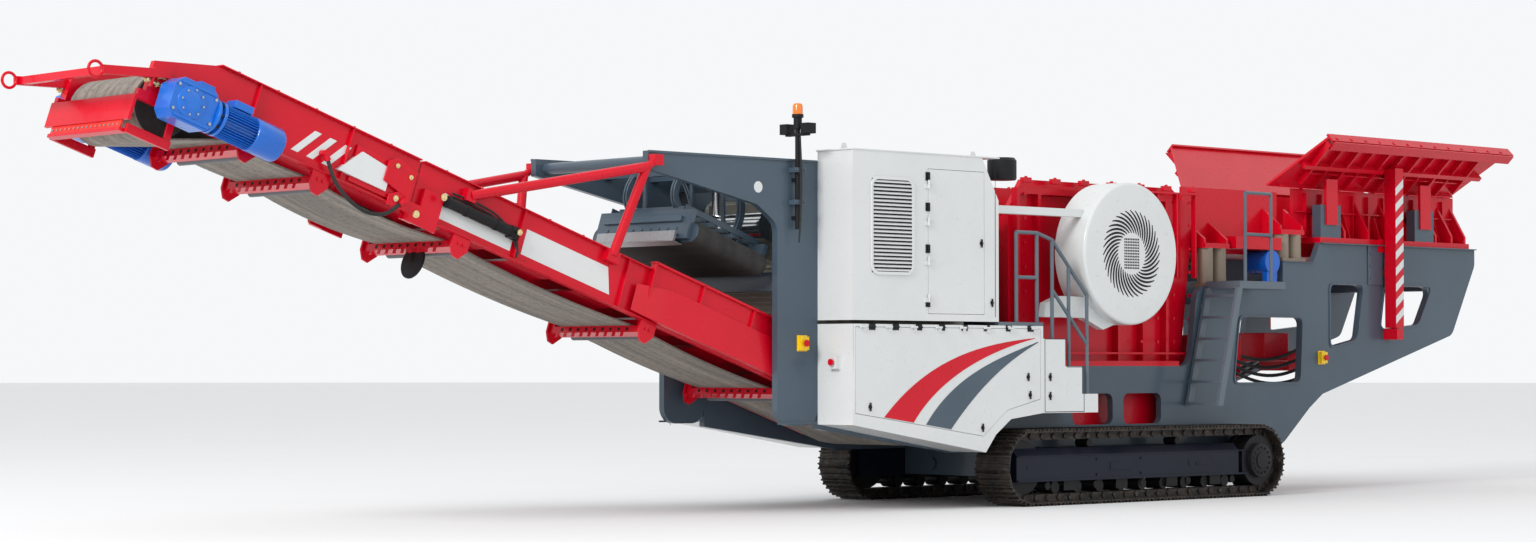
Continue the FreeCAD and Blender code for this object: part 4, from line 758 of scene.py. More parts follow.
def flared_skirt():
    """
    A wedge carried along the stringer. Its section is wider at the bottom than at the top, and its first
    section is pressed flat against the stringer, so the front end slopes.
    """
    full = np.array([(-0.768, 0.42), (-0.802, 0.42), (-0.855, 0.03), (-0.768, 0.03)])
    flat = np.array([(-0.768, 0.34), (-0.770, 0.34), (-0.770, 0.06), (-0.768, 0.06)])
    rows = [(SKIRT_START, flat), (SKIRT_FULL, full), (SKIRT_END, full)]
    return capped(np.stack([np.column_stack([np.full(4, u), section]) for u, section in rows]))


ribs = [block((u, -0.80, 0.10), (u + 0.02, -0.765, 0.62)) for u in (3.06, 3.75, 4.50, 5.25)]
rail = block((3.06, -0.80, 0.61), (5.30, -0.70, 0.635))
piece("skirt_plates", both_sides(moved(joined([flared_skirt(), rail, *ribs]), SLOPE)), "red",
      bevel=0.003)

# %% [markdown]
# A dark strip along the inside of each stringer is painted shade: it stands for the shadow that falls
# there, between the two runs of the belt.

# %% Painted shade inside the stringers
def seal(first, last):
    """A long dark strip of painted shade inside a stringer, in the conveyor's frame."""
    return slope_box((first, -0.656, 0.045), (last, -0.640, 0.290))


# Dark strips of painted shade on the inner faces of the stringers, tail and head.
piece("stringer_shade_tail", both_sides(seal(0.05, 6.80)), "magnet_rubber")
piece("stringer_shade_head", both_sides(seal(-2.20, -0.05)), "magnet_rubber", body="head_section")

# %% [markdown]
# ## Cabinets
# The cooler's grille is a frame with slanted slats. A slat is one thin box, turned a little and repeated;
# a dark plate behind the slats, painted shade for the hollow behind the grille, shows through the gaps
# between them.

# %% Grilles
PROUD = 0.001
SLATS, SLANT, SLAT_DEPTH = 24, 35, 0.014
grille_low, grille_high, margin = (-1.64, 2.56), (-1.05, 3.54), 0.01


def grille(low, high):
    """Slats across a panel that faces -Y: equal steps up its height, each turned about its own length."""
    (x0, z0), (x1, z1) = low, high
    pitch = (z1 - z0) / SLATS
    slat = block((x0, -0.0012, -pitch * 0.34), (x1, 0.0012, pitch * 0.34))
    return copies(slat, [at(0, -SLAT_DEPTH / 2, z0 + pitch * (k + 0.5), -SLANT, "X") for k in range(SLATS)])


def rounded_frame(low, high, border=0.035, corner=0.08, depth=0.016):
    """A flat ring with rounded corners: an outer and an inner outline, joined by faces on both sides."""
    angle = np.radians(np.arange(0, 360, 90 / 6) + 7.5).reshape(4, 6)
    middle = (np.array(low) + high) / 2
    half = (np.array(high) - low) / 2
    signs = np.array([(1, 1), (-1, 1), (-1, -1), (1, -1)])
    rings = []
    for grow, y in ((border, 0.0), (border, -depth), (0.0, -depth), (0.0, 0.0)):
        round_corner = [(corner + grow) * np.column_stack([np.cos(a), np.sin(a)]) for a in angle]
        line = np.vstack([middle + s * (half - corner) + part for s, part in zip(signs, round_corner)])
        rings.append(np.column_stack([line[:, 0], np.full(len(line), y), line[:, 1]]))
    return outward(grid(np.stack(rings), wrap_rows=True, wrap_columns=True))


on_cabinet = at(y=CABINET_FACE - PROUD)
# A dark plate just behind the slats: painted shade for the hollow behind the grille.
grille_shade = block((grille_low[0] - margin, CABINET_FACE - PROUD / 2, grille_low[1] - margin),
             (grille_high[0] + margin, CABINET_FACE - PROUD * 3 / 2, grille_high[1] + margin))
piece("cooler_painted_shade", both_sides(grille_shade), "black")
piece("cooler_grille", both_sides(moved(grille(grille_low, grille_high), on_cabinet)), "white")
piece("cooler_frame", both_sides(moved(rounded_frame(grille_low, grille_high), on_cabinet)), "white",
      bevel=0.003)

# %% [markdown]
# The engine housing behind the cabinet breathes through louvres in its front end, and pressed ribs stiffen
# its roof.

# %% Housing
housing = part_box("engine_housing")
front, roof = housing[0][0], housing[1][2]
slats = [block((front - 0.018, -0.80, z), (front, 0.80, z + 0.020)) for z in np.arange(2.12, 3.25, 0.055)]
piece("housing_louvres", joined(slats), "beige", bevel=0.002)
ribs = [block((x, -0.83, roof), (x + 0.05, 0.83, roof + 0.020)) for x in np.arange(-1.6, 0.9, 0.4)]
piece("housing_ribs", joined(ribs), "beige", bevel=0.004)

# %% [markdown]
# Hinges, latches and door seams are what make a box read as a cabinet. A seam is modelled as a very thin
# dark strip, a millimetre proud of the wall, because so narrow a gap needs no depth to be seen.

# %% Hinge, latch and seam tools
FITTING_FACE = CABINET_FACE - 2 * PROUD


def hinge(x, z, axis="z"):
    """Two dark leaves and a round knuckle between them, on the cabinet's face."""
    wide, high = (0.034, 0.046) if axis == "z" else (0.046, 0.034)
    leaf = block((x - wide, FITTING_FACE - 0.005, z - high), (x + wide, FITTING_FACE, z + high))
    run = [(0.010, -0.046), (0.010, 0.046)]
    return joined([leaf, turned_part(run, axis, (x, FITTING_FACE - 0.007, z), 10)])


def latch(x, z):
    """A round plate with a raised folding handle."""
    rose = turned_part([(0.026, -0.006), (0.024, 0.0)], "y", (x, FITTING_FACE, z), 20)
    handle = block((x - 0.010, FITTING_FACE - 0.014, z - 0.045),
                   (x + 0.010, FITTING_FACE - 0.006, z + 0.045))
    return joined([rose, handle])


def seam(points, width=0.007):
    """A dark line along a list of corners on the cabinet's face; each run is level or upright."""
    face, half, lines = CABINET_FACE - PROUD, width / 2, []
    for (x0, z0), (x1, z1) in zip(points, points[1:]):
        along_x = abs(x1 - x0) > abs(z1 - z0)
        low = (min(x0, x1) - half, z0 - half) if along_x else (x0 - half, min(z0, z1) - half)
        high = (max(x0, x1) + half, z0 + half) if along_x else (x0 + half, max(z0, z1) + half)
        lines.append(block((low[0], face - 0.0012, low[1]), (high[0], face, high[1])))
    return joined(lines)


print("hinge points:", len(hinge(0, 0)[0]))

# %% [markdown]
# Each fitting rides on the part that it is fixed to: the flap's latches swing up with the flap, and the
# door's latch goes round with the door.

# %% Hinges, latches and seams
DOOR_HINGES = [(-0.80, z) for z in (3.60, 3.27, 2.82, 2.24)]
FLAP_HINGES = [(x, 1.975) for x in np.linspace(-1.65, 0.84, 8)]
DOOR_LATCH, FLAP_LATCHES = (0.045, 2.90), [(0.833, 1.238), (0.801, 1.438), (-1.681, 1.128)]
step_edge = [(1.085, 1.862), (1.456, 1.862), (1.456, 1.549), (1.744, 1.549), (1.744, 1.244), (1.744, 1.047),
             (1.083, 1.047), (1.083, 1.862)]
latches = [latch(*spot) for spot in ((1.167, 1.437), (1.166, 1.225), (0.213, 2.251))]
piece("cabinet_hinges", joined(hinge(*spot) for spot in DOOR_HINGES), "black")
piece("cabinet_latches", joined(latches), "black")
piece("cabinet_seams", joined([seam(step_edge), seam([(0.27, 2.10), (0.27, 3.74)])]), "black")
piece("flap_latches", joined(latch(*spot) for spot in [*FLAP_LATCHES, (0.06, 0.885)]), "black",
      body="pump_flap")
piece("door_latch", latch(*DOOR_LATCH), "black", body="engine_door")
piece("flap_hinges", joined(hinge(*spot, "x") for spot in FLAP_HINGES), "black")

# %% [markdown]
# The far cabinet opens in the same places, so its doors are drawn by mirroring the near ones. They are
# closed here, and all their lines are seams. The near cabinet has a roof plate with two lifting eyes.

# %% Far cabinet and near roof
far_seams = [seam([(-0.79, 2.125), (0.09, 2.125), (0.09, 3.68), (-0.79, 3.68), (-0.79, 2.125)]),
             seam([(-1.895, 0.90), (-1.895, 1.97), (1.005, 1.97), (1.005, 1.10)]),
             seam([(-1.93, 1.995), (1.06, 1.995)]), seam(step_edge)]
piece("far_cabinet_seams", moved(joined(far_seams), MIRROR), "black")
far_fittings = [hinge(*spot) for spot in DOOR_HINGES] + [hinge(*spot, "x") for spot in FLAP_HINGES]
far_fittings += [latch(*spot) for spot in (DOOR_LATCH, *FLAP_LATCHES)]
piece("far_cabinet_fittings", moved(joined(far_fittings), MIRROR), "black")
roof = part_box("engine_cabinet")[1][2]
roof_plate = block((-1.95, -1.478, roof), (0.34, -0.93, roof + 0.016))
eye = side_plate([(-0.06, 0.01), (0.06, 0.01), (0.03, 0.09), (-0.03, 0.09)], -1.205, -1.19)
piece("cabinet_roof", joined([roof_plate, copies(eye, [at(-1.80, 0, roof), at(0.20, 0, roof)])]), "white",
      bevel=0.004)

# %% [markdown]
# Two sweeping stripes run up the side of the pump cabinet. Each lies between two curves, so it is a strip
# of a grid: one row of points on the upper curve, one on the lower, a little proud of the flap, which
# carries it.

# %% Stripes
def curve(points, samples=28):
    """
    A cubic curve from the first of four points to the last, pulled towards the two between: at share t they
    weigh (1 - t)^3, 3 t (1 - t)^2, 3 t^2 (1 - t) and t^3.
    """
    t = np.linspace(0, 1, samples)
    weights = np.column_stack([(1 - t) ** 3, 3 * t * (1 - t) ** 2, 3 * t ** 2 * (1 - t), t ** 3])
    return weights @ np.array(points, float)


def stripe(upper, lower, face=CABINET_FACE - PROUD, rise=0.0015):
    """A thin band between two curves on the cabinet's face."""
    upper, lower = curve(upper), curve(lower)
    rows = [np.column_stack([line[:, 0], np.full(len(line), y), line[:, 1]])
            for line, y in ((upper, face), (upper, face - rise), (lower, face - rise), (lower, face))]
    return capped(np.stack(rows, axis=1))


red_band = stripe([(-1.47, 1.015), (-0.80, 1.64), (0.04, 1.805), (0.92, 1.87)],
                  [(-1.02, 0.955), (-0.58, 1.485), (0.27, 1.745), (0.92, 1.865)])
slate_band = stripe([(-0.83, 0.93), (-0.39, 1.465), (0.315, 1.645), (0.97, 1.83)],
                    [(-0.44, 0.875), (-0.02, 1.30), (0.40, 1.59), (0.97, 1.82)])
piece("stripe_red", red_band, "red", body="pump_flap")
piece("stripe_slate", slate_band, "slate", body="pump_flap")

# %% [markdown]
# Emergency stops sit in reach of the ground at both ends. Each is a small box, a hooded plate and a
# mushroom button. The stop on the cabinet's front has a pale box; the three on the chassis are yellow.

# %% Emergency stops
def stop_box(place, turn):
    """Box, hood and red mushroom that look along -Y before they are turned about +Z."""
    box = block((-0.06, -0.05, -0.07), (0.06, 0.0, 0.07))
    hood = side_plate([(-0.075, -0.085), (0.075, -0.085), (0.075, 0.085), (-0.075, 0.085)], -0.002, 0.0)
    button = turned_part([(0.015, -0.085), (0.036, -0.085), (0.036, -0.07), (0.015, -0.06), (0.015, -0.05)],
                         "y", (0, 0, 0), 20)
    matrix = at(*place, turn)
    return moved(joined([box, hood]), matrix), moved(button, matrix)


on_beam = BEAM_FACE - 0.003
stops = [stop_box((-2.17, on_beam, 1.80), 0), stop_box((6.88, on_beam, 1.665), 0),
         stop_box((6.88, -on_beam, 1.665), 180)]
cabinet_box, cabinet_button = stop_box((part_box("pump_cabinet")[0][0] - 0.003, -1.217, 1.60), -90)
piece("stop_boxes", joined(box for box, _ in stops), "yellow", bevel=0.003)
piece("cabinet_stop_box", cabinet_box, "white", bevel=0.003)
piece("stop_buttons", joined([*(button for _, button in stops), cabinet_button]), "red")

# %% [markdown]
# An orange beacon tops the mast, where people round the plant can see that it is running.

# %% Beacon
mast_top = (-2.285, -1.0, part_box("beacon_mast")[1][2])
lamp = turned_part([(0.055, 0.0), (0.055, 0.10), (0.045, 0.125), (0.02, 0.135)], "z", mast_top, 28)
piece("beacon_glass", lamp, "orange")
piece("beacon_base", turned_part([(0.062, -0.02), (0.062, 0.015)], "z", mast_top, 28), "black")

# %% [markdown]
# ## Flywheel guards
# A guard is a drum with a rounded edge: a revolved profile that starts at the bearing cap and ends on the
# flat face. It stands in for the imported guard, which is plainer and stands as far out as the slots have
# to.

# %% Guard drum
GUARD_X, GUARD_Z, GUARD_FACE = 2.560, 2.850, -1.490
RADIUS, EDGE, SLOT_FRONT, SLOT_BACK = 0.820, 0.035, -1.4915, -1.4895


def guard_drum():
    """A closed drum: the bearing cap, the back, the rim, a quarter-round edge and the face, turned once."""
    edge = np.linspace(0, math.pi / 2, 9)
    bend = np.column_stack([RADIUS - EDGE * (1 - np.cos(edge)), -GUARD_FACE - EDGE * (1 - np.sin(edge))])
    profile = [(0.30, 0.71), (0.30, 1.02), (RADIUS - 0.02, 1.02), (RADIUS, 1.04), *bend, (0.60, -GUARD_FACE)]
    return moved(revolve(profile, 72), at(GUARD_X, 0, GUARD_Z, 90, "X"))


bolt_circle = np.linspace(0.4, 0.4 + 2 * math.pi, 8, endpoint=False)
face_bolts = bolt_heads([(GUARD_X + 0.66 * math.cos(a), GUARD_FACE + 0.002, GUARD_Z + 0.66 * math.sin(a))
                         for a in bolt_circle], height=0.008)
piece("guard_drums", both_sides(joined([guard_drum(), face_bolts])), "white",
      replaces=("flywheel_guards",))

# %% [markdown]
# A belt runs from the engine to the flywheel inside a flat guard below, and a brace ties the drum to the
# engine cabinet.

# %% Belt guard and brace
belt_guard = side_plate([(1.240, 2.110), (1.265, 2.270), (1.490, 2.350), (1.950, 2.350), (2.330, 2.180),
                         (2.450, 2.035), (2.245, 1.975), (1.900, 2.105)], -1.33, -1.23)
brace = block((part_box("engine_cabinet")[1][0], -1.35, 3.25), (2.06, -1.26, 3.34))
piece("guard_brace", joined([belt_guard, brace]), "white", bevel=0.006)

# %% [markdown]
# The face breathes through a swirl of slots, drawn as dark strips that paint the shade inside them. It is
# one short curved strip, bent by turning it more the farther it lies from the middle, and repeated round the
# centre; inside the swirl is a field of small square holes, drawn as dark squares of painted shade.

# %% Swirl of slots
def swirl_slot(start, inner=0.24, outer=0.50, width=0.027, bend=0.75, samples=9):
    """
    A dark curved strip on the face, painted shade for one open slot. At share t from the inner to the outer
    radius, its angle is start + bend * t, so it leans back like a fan's blade; its ends are narrowed to
    points.
    """
    share = np.linspace(0, 1, samples)
    radius = inner + (outer - inner) * share
    angle = start + bend * share
    middle = np.column_stack([radius * np.cos(angle), radius * np.sin(angle)])
    along = np.gradient(middle, axis=0)
    along /= np.linalg.norm(along, axis=1, keepdims=True)
    across = np.column_stack([-along[:, 1], along[:, 0]])
    bulge = np.sqrt(np.clip(np.sin(np.pi * np.clip(share, 0.02, 0.98)), 0, 1))
    half = width * (0.25 + 0.75 * bulge)[:, None] / 2
    left, right = middle + across * half, middle - across * half
    ring = [np.column_stack([GUARD_X + line[:, 0], np.full(samples, y), GUARD_Z + line[:, 1]])
            for line, y in ((left, SLOT_BACK), (left, SLOT_FRONT), (right, SLOT_FRONT), (right, SLOT_BACK))]
    return capped(np.stack(ring, axis=1))


slots = [swirl_slot(a) for a in np.linspace(0, 2 * math.pi, 36, endpoint=False)]
# Small dark squares that paint the shade inside the square holes.
hole = block((GUARD_X - 0.010, SLOT_FRONT, GUARD_Z - 0.010), (GUARD_X + 0.010, SLOT_BACK, GUARD_Z + 0.010))
slots.append(copies(hole, [at(x, 0, z) for x in np.linspace(-0.12, 0.12, 9)
                           for z in np.linspace(-0.165, 0.165, 11)]))
piece("guard_slots", both_sides(joined(slots)), "black")

# %% [markdown]
# ## Hopper and wings
# The wing plates are stiffened from outside. Ribs stand along them and a deep fascia closes their upper
# edge; the wings fold, so all of it rides on each wing and none of it may reach past its own hinge.

# %% Wing fascia and ribs
WING_FOOT, WING_LEAN = (0.65, 3.82), math.pi / 4
RIB_X, FRONT_X, REAR_X = np.arange(6.95, 10.0, 0.66), 6.63, 10.03


def wing_bar(x, reach, off):
    """
    A box in the wing's own directions, given by its ranges: x along the wing, reach from the hinge up its
    slope, and off towards the outside. Reach and off are turned by the lean's sine and cosine.
    """
    points, faces = block((x[0], off[0], reach[0]), (x[1], off[1], reach[1]))
    x, off, reach = points.T
    y = -(WING_FOOT[0] + reach * math.cos(WING_LEAN) + off * math.sin(WING_LEAN))
    z = WING_FOOT[1] + reach * math.sin(WING_LEAN) - off * math.cos(WING_LEAN)
    return outward((np.column_stack([x, y, z]), faces))


wing = [wing_bar((x, x + 0.014), (0.07, 0.80), (0.025, 0.10)) for x in RIB_X]
wing += [wing_bar((FRONT_X + 0.01, REAR_X), (0.30, 0.315), (0.02, 0.09)),
         wing_bar((6.30, REAR_X), (0.055, 0.07), (0.02, 0.085)),
         wing_bar((FRONT_X, 10.56), (0.74, 0.868), (0.120, 0.135))]
wing += [wing_bar((x, x + 0.03), (0.868, 0.878), (0.045, 0.075)) for x in np.arange(6.72, 10.5, 0.30)]
piece("wing_ribs_near", joined(wing), "red", body="wing_near")
piece("wing_ribs_far", moved(joined(wing), MIRROR), "red", body="wing_far")

# %% [markdown]
# The fixed hopper wall is ribbed the same way, with gussets on its lower rail and a row of bolts along it.

# %% Hopper ribs
WALL = -0.69
ribs = [block((x, WALL - 0.045, 3.20), (x + 0.014, WALL, 3.74)) for x in np.arange(6.85, 10.0, 0.33)]
ribs += [block((6.66, WALL - 0.055, z), (10.10, WALL, z + thick))
         for z, thick in ((3.175, 0.020), (3.50, 0.015))]
ribs.append(bolt_heads([(x, -0.725, 3.195) for x in np.arange(6.75, 10.05, 0.22)], "z", 0.013, 0.010, 1))
gusset = side_plate([(0, 0), (0.0, 0.30), (0.02, 0.30), (0.13, 0.0)], -0.007, 0.007)
ribs.append(copies(gusset, [at(x, WALL, 3.20, -90) for x in np.arange(7.0, 9.9, 0.66)]))
piece("hopper_ribs", both_sides(joined(ribs)), "red")

# %% [markdown]
# The long posts carry slanted white warning bars. Their sockets are bolted to the beams, and a lifting lug
# stands beside each.

# %% Post stripes and sockets
POST_X = (8.182, 8.348)
bars = [side_plate([(POST_X[0], z), (POST_X[1], z + 0.12), (POST_X[1], z + 0.22), (POST_X[0], z + 0.10)],
                   -1.1525, -1.1500) for z in np.arange(2.10, 3.84, 0.205)]
piece("post_stripes", both_sides(joined(bars)), "white")
lug = side_plate([(8.06, 3.02), (8.20, 3.02), (8.20, 3.14), (8.165, 3.19), (8.095, 3.19), (8.06, 3.14)],
                 BEAM_FACE - 0.022, BEAM_FACE - 0.002)
piece("hopper_lifting_lugs", both_sides(lug), "red")
plates = [block((x0, BEAM_FACE - 0.015, 2.60), (x1, BEAM_FACE - 0.002, 3.10))
          for x0, x1 in ((7.86, 8.16), (8.37, 8.62))]
plates.append(bolt_heads([(x, BEAM_FACE - 0.015, z) for x in (7.91, 8.11, 8.42, 8.57)
                          for z in (2.68, 2.84, 3.00)]))
piece("socket_plates", both_sides(joined(plates)), "slate", bevel=0.003)

# %% [markdown]
# ## Crusher
# Between the hopper and the guards, the crusher's side plates carry stiffening ribs and rows of big bolts.
# Its upper edge has bosses that take the lifting bolts.

# %% Crusher bolts and ribs
CRUSHER_FACE = -0.79
bolt_spots = [(x, CRUSHER_FACE, z) for x in (1.50, 3.55, 3.85, 4.15, 4.45)
              for z in np.arange(1.85, 3.6, 0.28)]
ribs = [block((x, CRUSHER_FACE - 0.065, 2.62), (x + 0.022, CRUSHER_FACE, 3.62))
        for x in (3.45, 3.80, 4.15, 4.50)]
ribs += [block((3.40, -0.862, 3.62), (4.60, CRUSHER_FACE, 3.642)),
         block((1.36, -0.84, 1.70), (4.60, CRUSHER_FACE, 1.722)), bolt_heads(bolt_spots, "y", 0.022, 0.018)]
piece("crusher_ribs", both_sides(joined(ribs)), "red")
boss_x, boss_top = np.arange(1.50, 4.55, 0.50), 3.715
bosses = [block((x - 0.07, -0.845, boss_top - 0.06), (x + 0.07, -0.785, boss_top)) for x in boss_x]
bosses.append(bolt_heads([(x, -0.815, boss_top) for x in boss_x], "z", 0.020, 0.016, 1))
piece("crusher_top_bosses", both_sides(joined(bosses)), "red", bevel=0.004)

# %% [markdown]
# The engine's exhaust ends in a round cap beside the cabinet. What hangs inside the frame is only seen
# through its cut-outs: plain boxes stand for the hydraulic tanks, and hoses sag between them.

# %% Exhaust and inner parts
cap = turned_part([(0.155, 3.64), (0.165, 3.66), (0.165, 3.86), (0.14, 3.89)], "z", (0.785, -1.10, 0.0), 32)
piece("exhaust_cap", cap, "black")
tanks = [block((6.55, -0.30, 1.62), (7.05, 0.30, 1.98)), block((7.15, -0.22, 1.50), (7.55, 0.25, 1.75)),
         block((5.45, -0.40, 1.42), (5.95, 0.35, 1.95))]
piece("hydraulic_boxes", joined(tanks), "red", bevel=0.01)


def sagging_hose(number, samples=24):
    """A hose along X that hangs as half a sine wave; each next one lies beside and above the one before."""
    sag = 0.28 * np.sin(np.linspace(0, math.pi, samples))
    line = [np.linspace(5.3, 7.6, samples), np.full(samples, -0.52 + 0.06 * number),
            1.62 + 0.10 * number - sag]
    return sweep(np.column_stack(line), circle(0.022, 8))


piece("beam_hoses", both_sides(joined(sagging_hose(k) for k in range(4))), "hose")

# %% [markdown]
# ## Drives and hoses
# The belt's gearmotor hangs on the drum shaft, outside the frame. First comes its bevel gearbox: a case
# with a round cover and a neck that reaches the drum. All of it is drawn in the conveyor's frame.

# %% Gearbox
DRUM_U, DRUM_W, CASE_FACE = -2.751, 0.025, -1.03
case = side_plate([(-2.96, -0.10), (-2.90, -0.17), (-2.55, -0.17), (-2.48, -0.11), (-2.48, 0.15),
                   (-2.55, 0.22), (-2.88, 0.22), (-2.96, 0.14)], CASE_FACE, -0.79)
cover = turned_part([(0.135, 0.76), (0.150, 0.78), (0.150, 1.035), (0.125, 1.048), (0.05, 1.048)], "y",
                    (DRUM_U, 0, DRUM_W), 36)
web = [block((-2.90, CASE_FACE - 0.012, w), (-2.52, CASE_FACE, w + 0.030)) for w in (0.165, -0.145)]
neck = turned_part([(0.11, -0.785), (0.11, -0.72)], "y", (DRUM_U, 0, DRUM_W), 32)
torque_arm = side_plate([(-2.62, 0.20), (-2.46, 0.20), (-2.46, 0.30), (-2.62, 0.30)], -0.86, -0.80)
gearbox = [case, moved(cover, MIRROR), *web, neck, torque_arm]
print("gearbox parts:", len(gearbox))

# %% [markdown]
# The motor stands on the gearbox's flange. A fin is one thin block, repeated round the motor's own axis,
# and a cowl covers the fan behind it.

# %% Gearmotors
MOTOR = (0, -0.915, 0.020)
FINS, COWL_END = 36, -1.705
flanges = [turned_part([(0.165, u), (0.165, u + 0.03)], "x", MOTOR, 36) for u in (-2.48, -2.41)]
barrel = turned_part([(0.118, -2.46), (0.118, -2.00)], "x", MOTOR, 36)
fins = around(block((-2.37, -0.003, 0.11), (-2.02, 0.003, 0.158)), FINS, MOTOR)
cowl = turned_part([(0.150, -2.03), (0.163, -2.02), (0.163, -1.74), (0.150, -1.715), (0.10, COWL_END)], "x",
                   MOTOR, 36)
terminal = block((-2.30, MOTOR[1] - 0.09, 0.165), (-2.10, MOTOR[1] + 0.07, 0.235))
motor = joined([*gearbox, *flanges, barrel, fins, cowl, terminal])
piece("gearmotor_bodies", both_sides(moved(motor, SLOPE)), "blue", body="head_section",
      bevel=0.006, replaces=("gearmotors",))

# %% [markdown]
# The cowl's grating is a ring of thin dark bars round a centre disc, and dark bolts hold the motor's flange.
# Bright bolts close the gearbox's cover and its corners.

# %% Gearmotor bolts and grating
bars = around(block((COWL_END - 0.001, -0.002, 0.03), (COWL_END + 0.0015, 0.002, 0.095)), 24, MOTOR)
disc = turned_part([(0.02, COWL_END - 0.0005), (0.02, COWL_END + 0.0015)], "x", MOTOR, 28)
flange_ring = around(turned_part([(0.013, -2.45), (0.013, -2.41)], "x", (0, 0, 0.145), 6), 8, MOTOR)
piece("gearmotor_grilles", both_sides(moved(joined([bars, disc, flange_ring]), SLOPE)), "black",
      body="head_section")
cover_bolts = bolt_heads([(DRUM_U + 0.115 * math.cos(a), -1.048, DRUM_W + 0.115 * math.sin(a))
                          for a in np.linspace(0, 2 * math.pi, 8, endpoint=False)], radius=0.011)
corner_bolts = bolt_heads([(u, CASE_FACE, w) for u in (-2.92, -2.52) for w in (-0.09, 0.14)])
piece("gearmotor_bolts", both_sides(moved(joined([cover_bolts, corner_bolts]), SLOPE)), "steel",
      body="head_section")

# %% [markdown]
# The fold hose is a free cord, so its route is the one that gave it its length: straight runs joined by
# tangent arcs. A round section is carried along it.

# %% Fold hose
def rounded_route(route, share=0.45, steps=9):
    """
    Straight runs joined by tangent arcs. Each arc starts and ends at a share of its shorter run from the
    corner, and its points swing evenly from its first radius to its last.
    """
    route = np.array(route, float)
    line = [route[:1]]
    for before, corner, after in zip(route, route[1:], route[2:]):
        back, on = before - corner, after - corner
        reach = share * min(np.linalg.norm(back), np.linalg.norm(on))
        back, on = back / np.linalg.norm(back), on / np.linalg.norm(on)
        half = (math.pi - math.acos(back @ on)) / 2
        inward = (back + on) / np.linalg.norm(back + on)
        centre = corner + inward * reach / math.sin(half)
        first, last = corner + back * reach - centre, corner + on * reach - centre
        swing, turn = np.linspace(0, 1, steps)[:, None], 2 * half
        arc = (np.sin((1 - swing) * turn) * first + np.sin(swing * turn) * last) / math.sin(turn)
        line.append(centre + arc)
    line.append(route[-1:])
    return np.vstack(line)


HOSE_SIDE, HOSE_THICK = -0.790, 0.038
hose_route = [(-1.060, 0.140), (-0.930, -0.020), (-0.720, -0.130), (-0.480, -0.172), (-0.270, -0.100),
              (-0.160, 0.040)]
hose_line = rounded_route([tuple(SLOPE @ Vector((u, HOSE_SIDE, w))) for u, w in hose_route])
hose_length = float(np.linalg.norm(np.diff(hose_line, axis=0), axis=1).sum())
hose = piece("fold_hose_tube", sweep(hose_line, circle(HOSE_THICK / 2, 16), up=(0, 1, 0)), "hose",
             body="head_section", replaces=("fold_hoses",))
print("hose length", round(hose_length, 4))

# %% [markdown]
# The fold turns on pins under the stringers. Plates on the head section carry them, and the pins of the
# fold and its cylinders show as stepped, brass-coloured heads.

# %% Fold plates and pins
def pin_head(u, w, face, radius):
    """A stepped round head on a plate's outer face."""
    shape = turned_part([(radius, 0), (radius, 0.014), (radius * 0.55, 0.02), (radius * 0.55, 0.032)], "y",
                        (u, 0, w), 20)
    return moved(shape, at(y=face) @ MIRROR)


plates = [side_plate([(-0.40, 0.20), (-0.06, 0.12), (-0.06, 0.40), (-0.30, 0.46), (-0.40, 0.40)],
                     -0.790, -0.762),
          side_plate([(-0.30, 0.0), (-0.05, 0.0), (-0.05, 0.13), (-0.20, 0.16), (-0.30, 0.10)],
                     -0.784, -0.762)]
head_pins = [pin_head(-0.30, 0.38, -0.790, 0.024), pin_head(-0.12, 0.33, -0.790, 0.024),
             pin_head(-0.22, 0.08, -0.784, 0.03)]
tail_pins = [pin_head(0.0, 0.0, -0.862, 0.036), pin_head(0.26, 0.27, -0.858, 0.036),
             pin_head(1.23, 0.27, -0.868, 0.030)]
piece("fold_plates", both_sides(moved(joined(plates), SLOPE)), "red", body="head_section",
      bevel=0.004)
piece("fold_pins_head", both_sides(moved(joined(head_pins), SLOPE)), "zinc", body="head_section")
piece("fold_pins_tail", both_sides(moved(joined(tail_pins), SLOPE)), "zinc")

# %% [markdown]
# Two thin pressure lines lie along each fold cylinder and are held to it by bands.

# %% Cylinder lines
CYLINDER_Y, CYLINDER_W = -0.78, 0.27
lines = [rounded_route([(0.42, 0.345 + lift), (0.70, 0.36 + lift), (1.00, 0.345 + lift), (1.30, 0.20 + lift),
                        (1.36, 0.06 + lift)]) for lift in (0.0, 0.03)]
tubes = [sweep(np.column_stack([line[:, 0], np.full(len(line), y), line[:, 1]]), circle(0.011, 8),
               up=(0, 1, 0))
         for line, y in zip(lines, (-0.752, -0.762))]
piece("cylinder_hoses", both_sides(moved(joined(tubes), SLOPE)), "hose")
bands = [turned_part([(0.060, u), (0.060, u + 0.03)], "x", (0, CYLINDER_Y, CYLINDER_W), 24)
         for u in (0.36, 0.60, 0.98, 1.17)]
piece("cylinder_bands", both_sides(moved(joined(bands), SLOPE)), "black")

# %% [markdown]
# ## Portal, magnet and mast
# The overband magnet pulls scrap iron out of the stone. Its housing is folded sheet with ribs, bolted along
# its front edge, and it slopes like the belt below it.

# %% Magnet housing
MAGNET = at(-3.07, 0, 2.78, DEGREES, "Y")
ribs = [block((x - 0.006, -0.52, 0.24), (x + 0.006, 0.52, 0.30)) for x in np.linspace(-0.50, 0.50, 7)]
ribs += [block((-0.545, -0.60, 0.235), (0.545, -0.585, 0.30)),
         block((-0.545, 0.585, 0.235), (0.545, 0.60, 0.30)),
         block((-0.595, -0.62, 0.10), (-0.56, 0.62, 0.16)),
         block((-0.60, -0.62, -0.09), (-0.56, 0.62, -0.07)),
         bolt_heads([(-0.56, y, 0.03) for y in np.linspace(-0.55, 0.55, 9)], "x", 0.015, 0.012, -1)]
piece("magnet_ribs", moved(joined(ribs), MAGNET), "slate", bevel=0.003)

# %% [markdown]
# Curved arms in pairs carry the magnet. Each is a flat bar, bent outwards on its way up to the portal's
# beam. A bright plate under the magnet's front throws the scrap clear.

# %% Magnet arms and deflector
ARM_TOP = 3.60


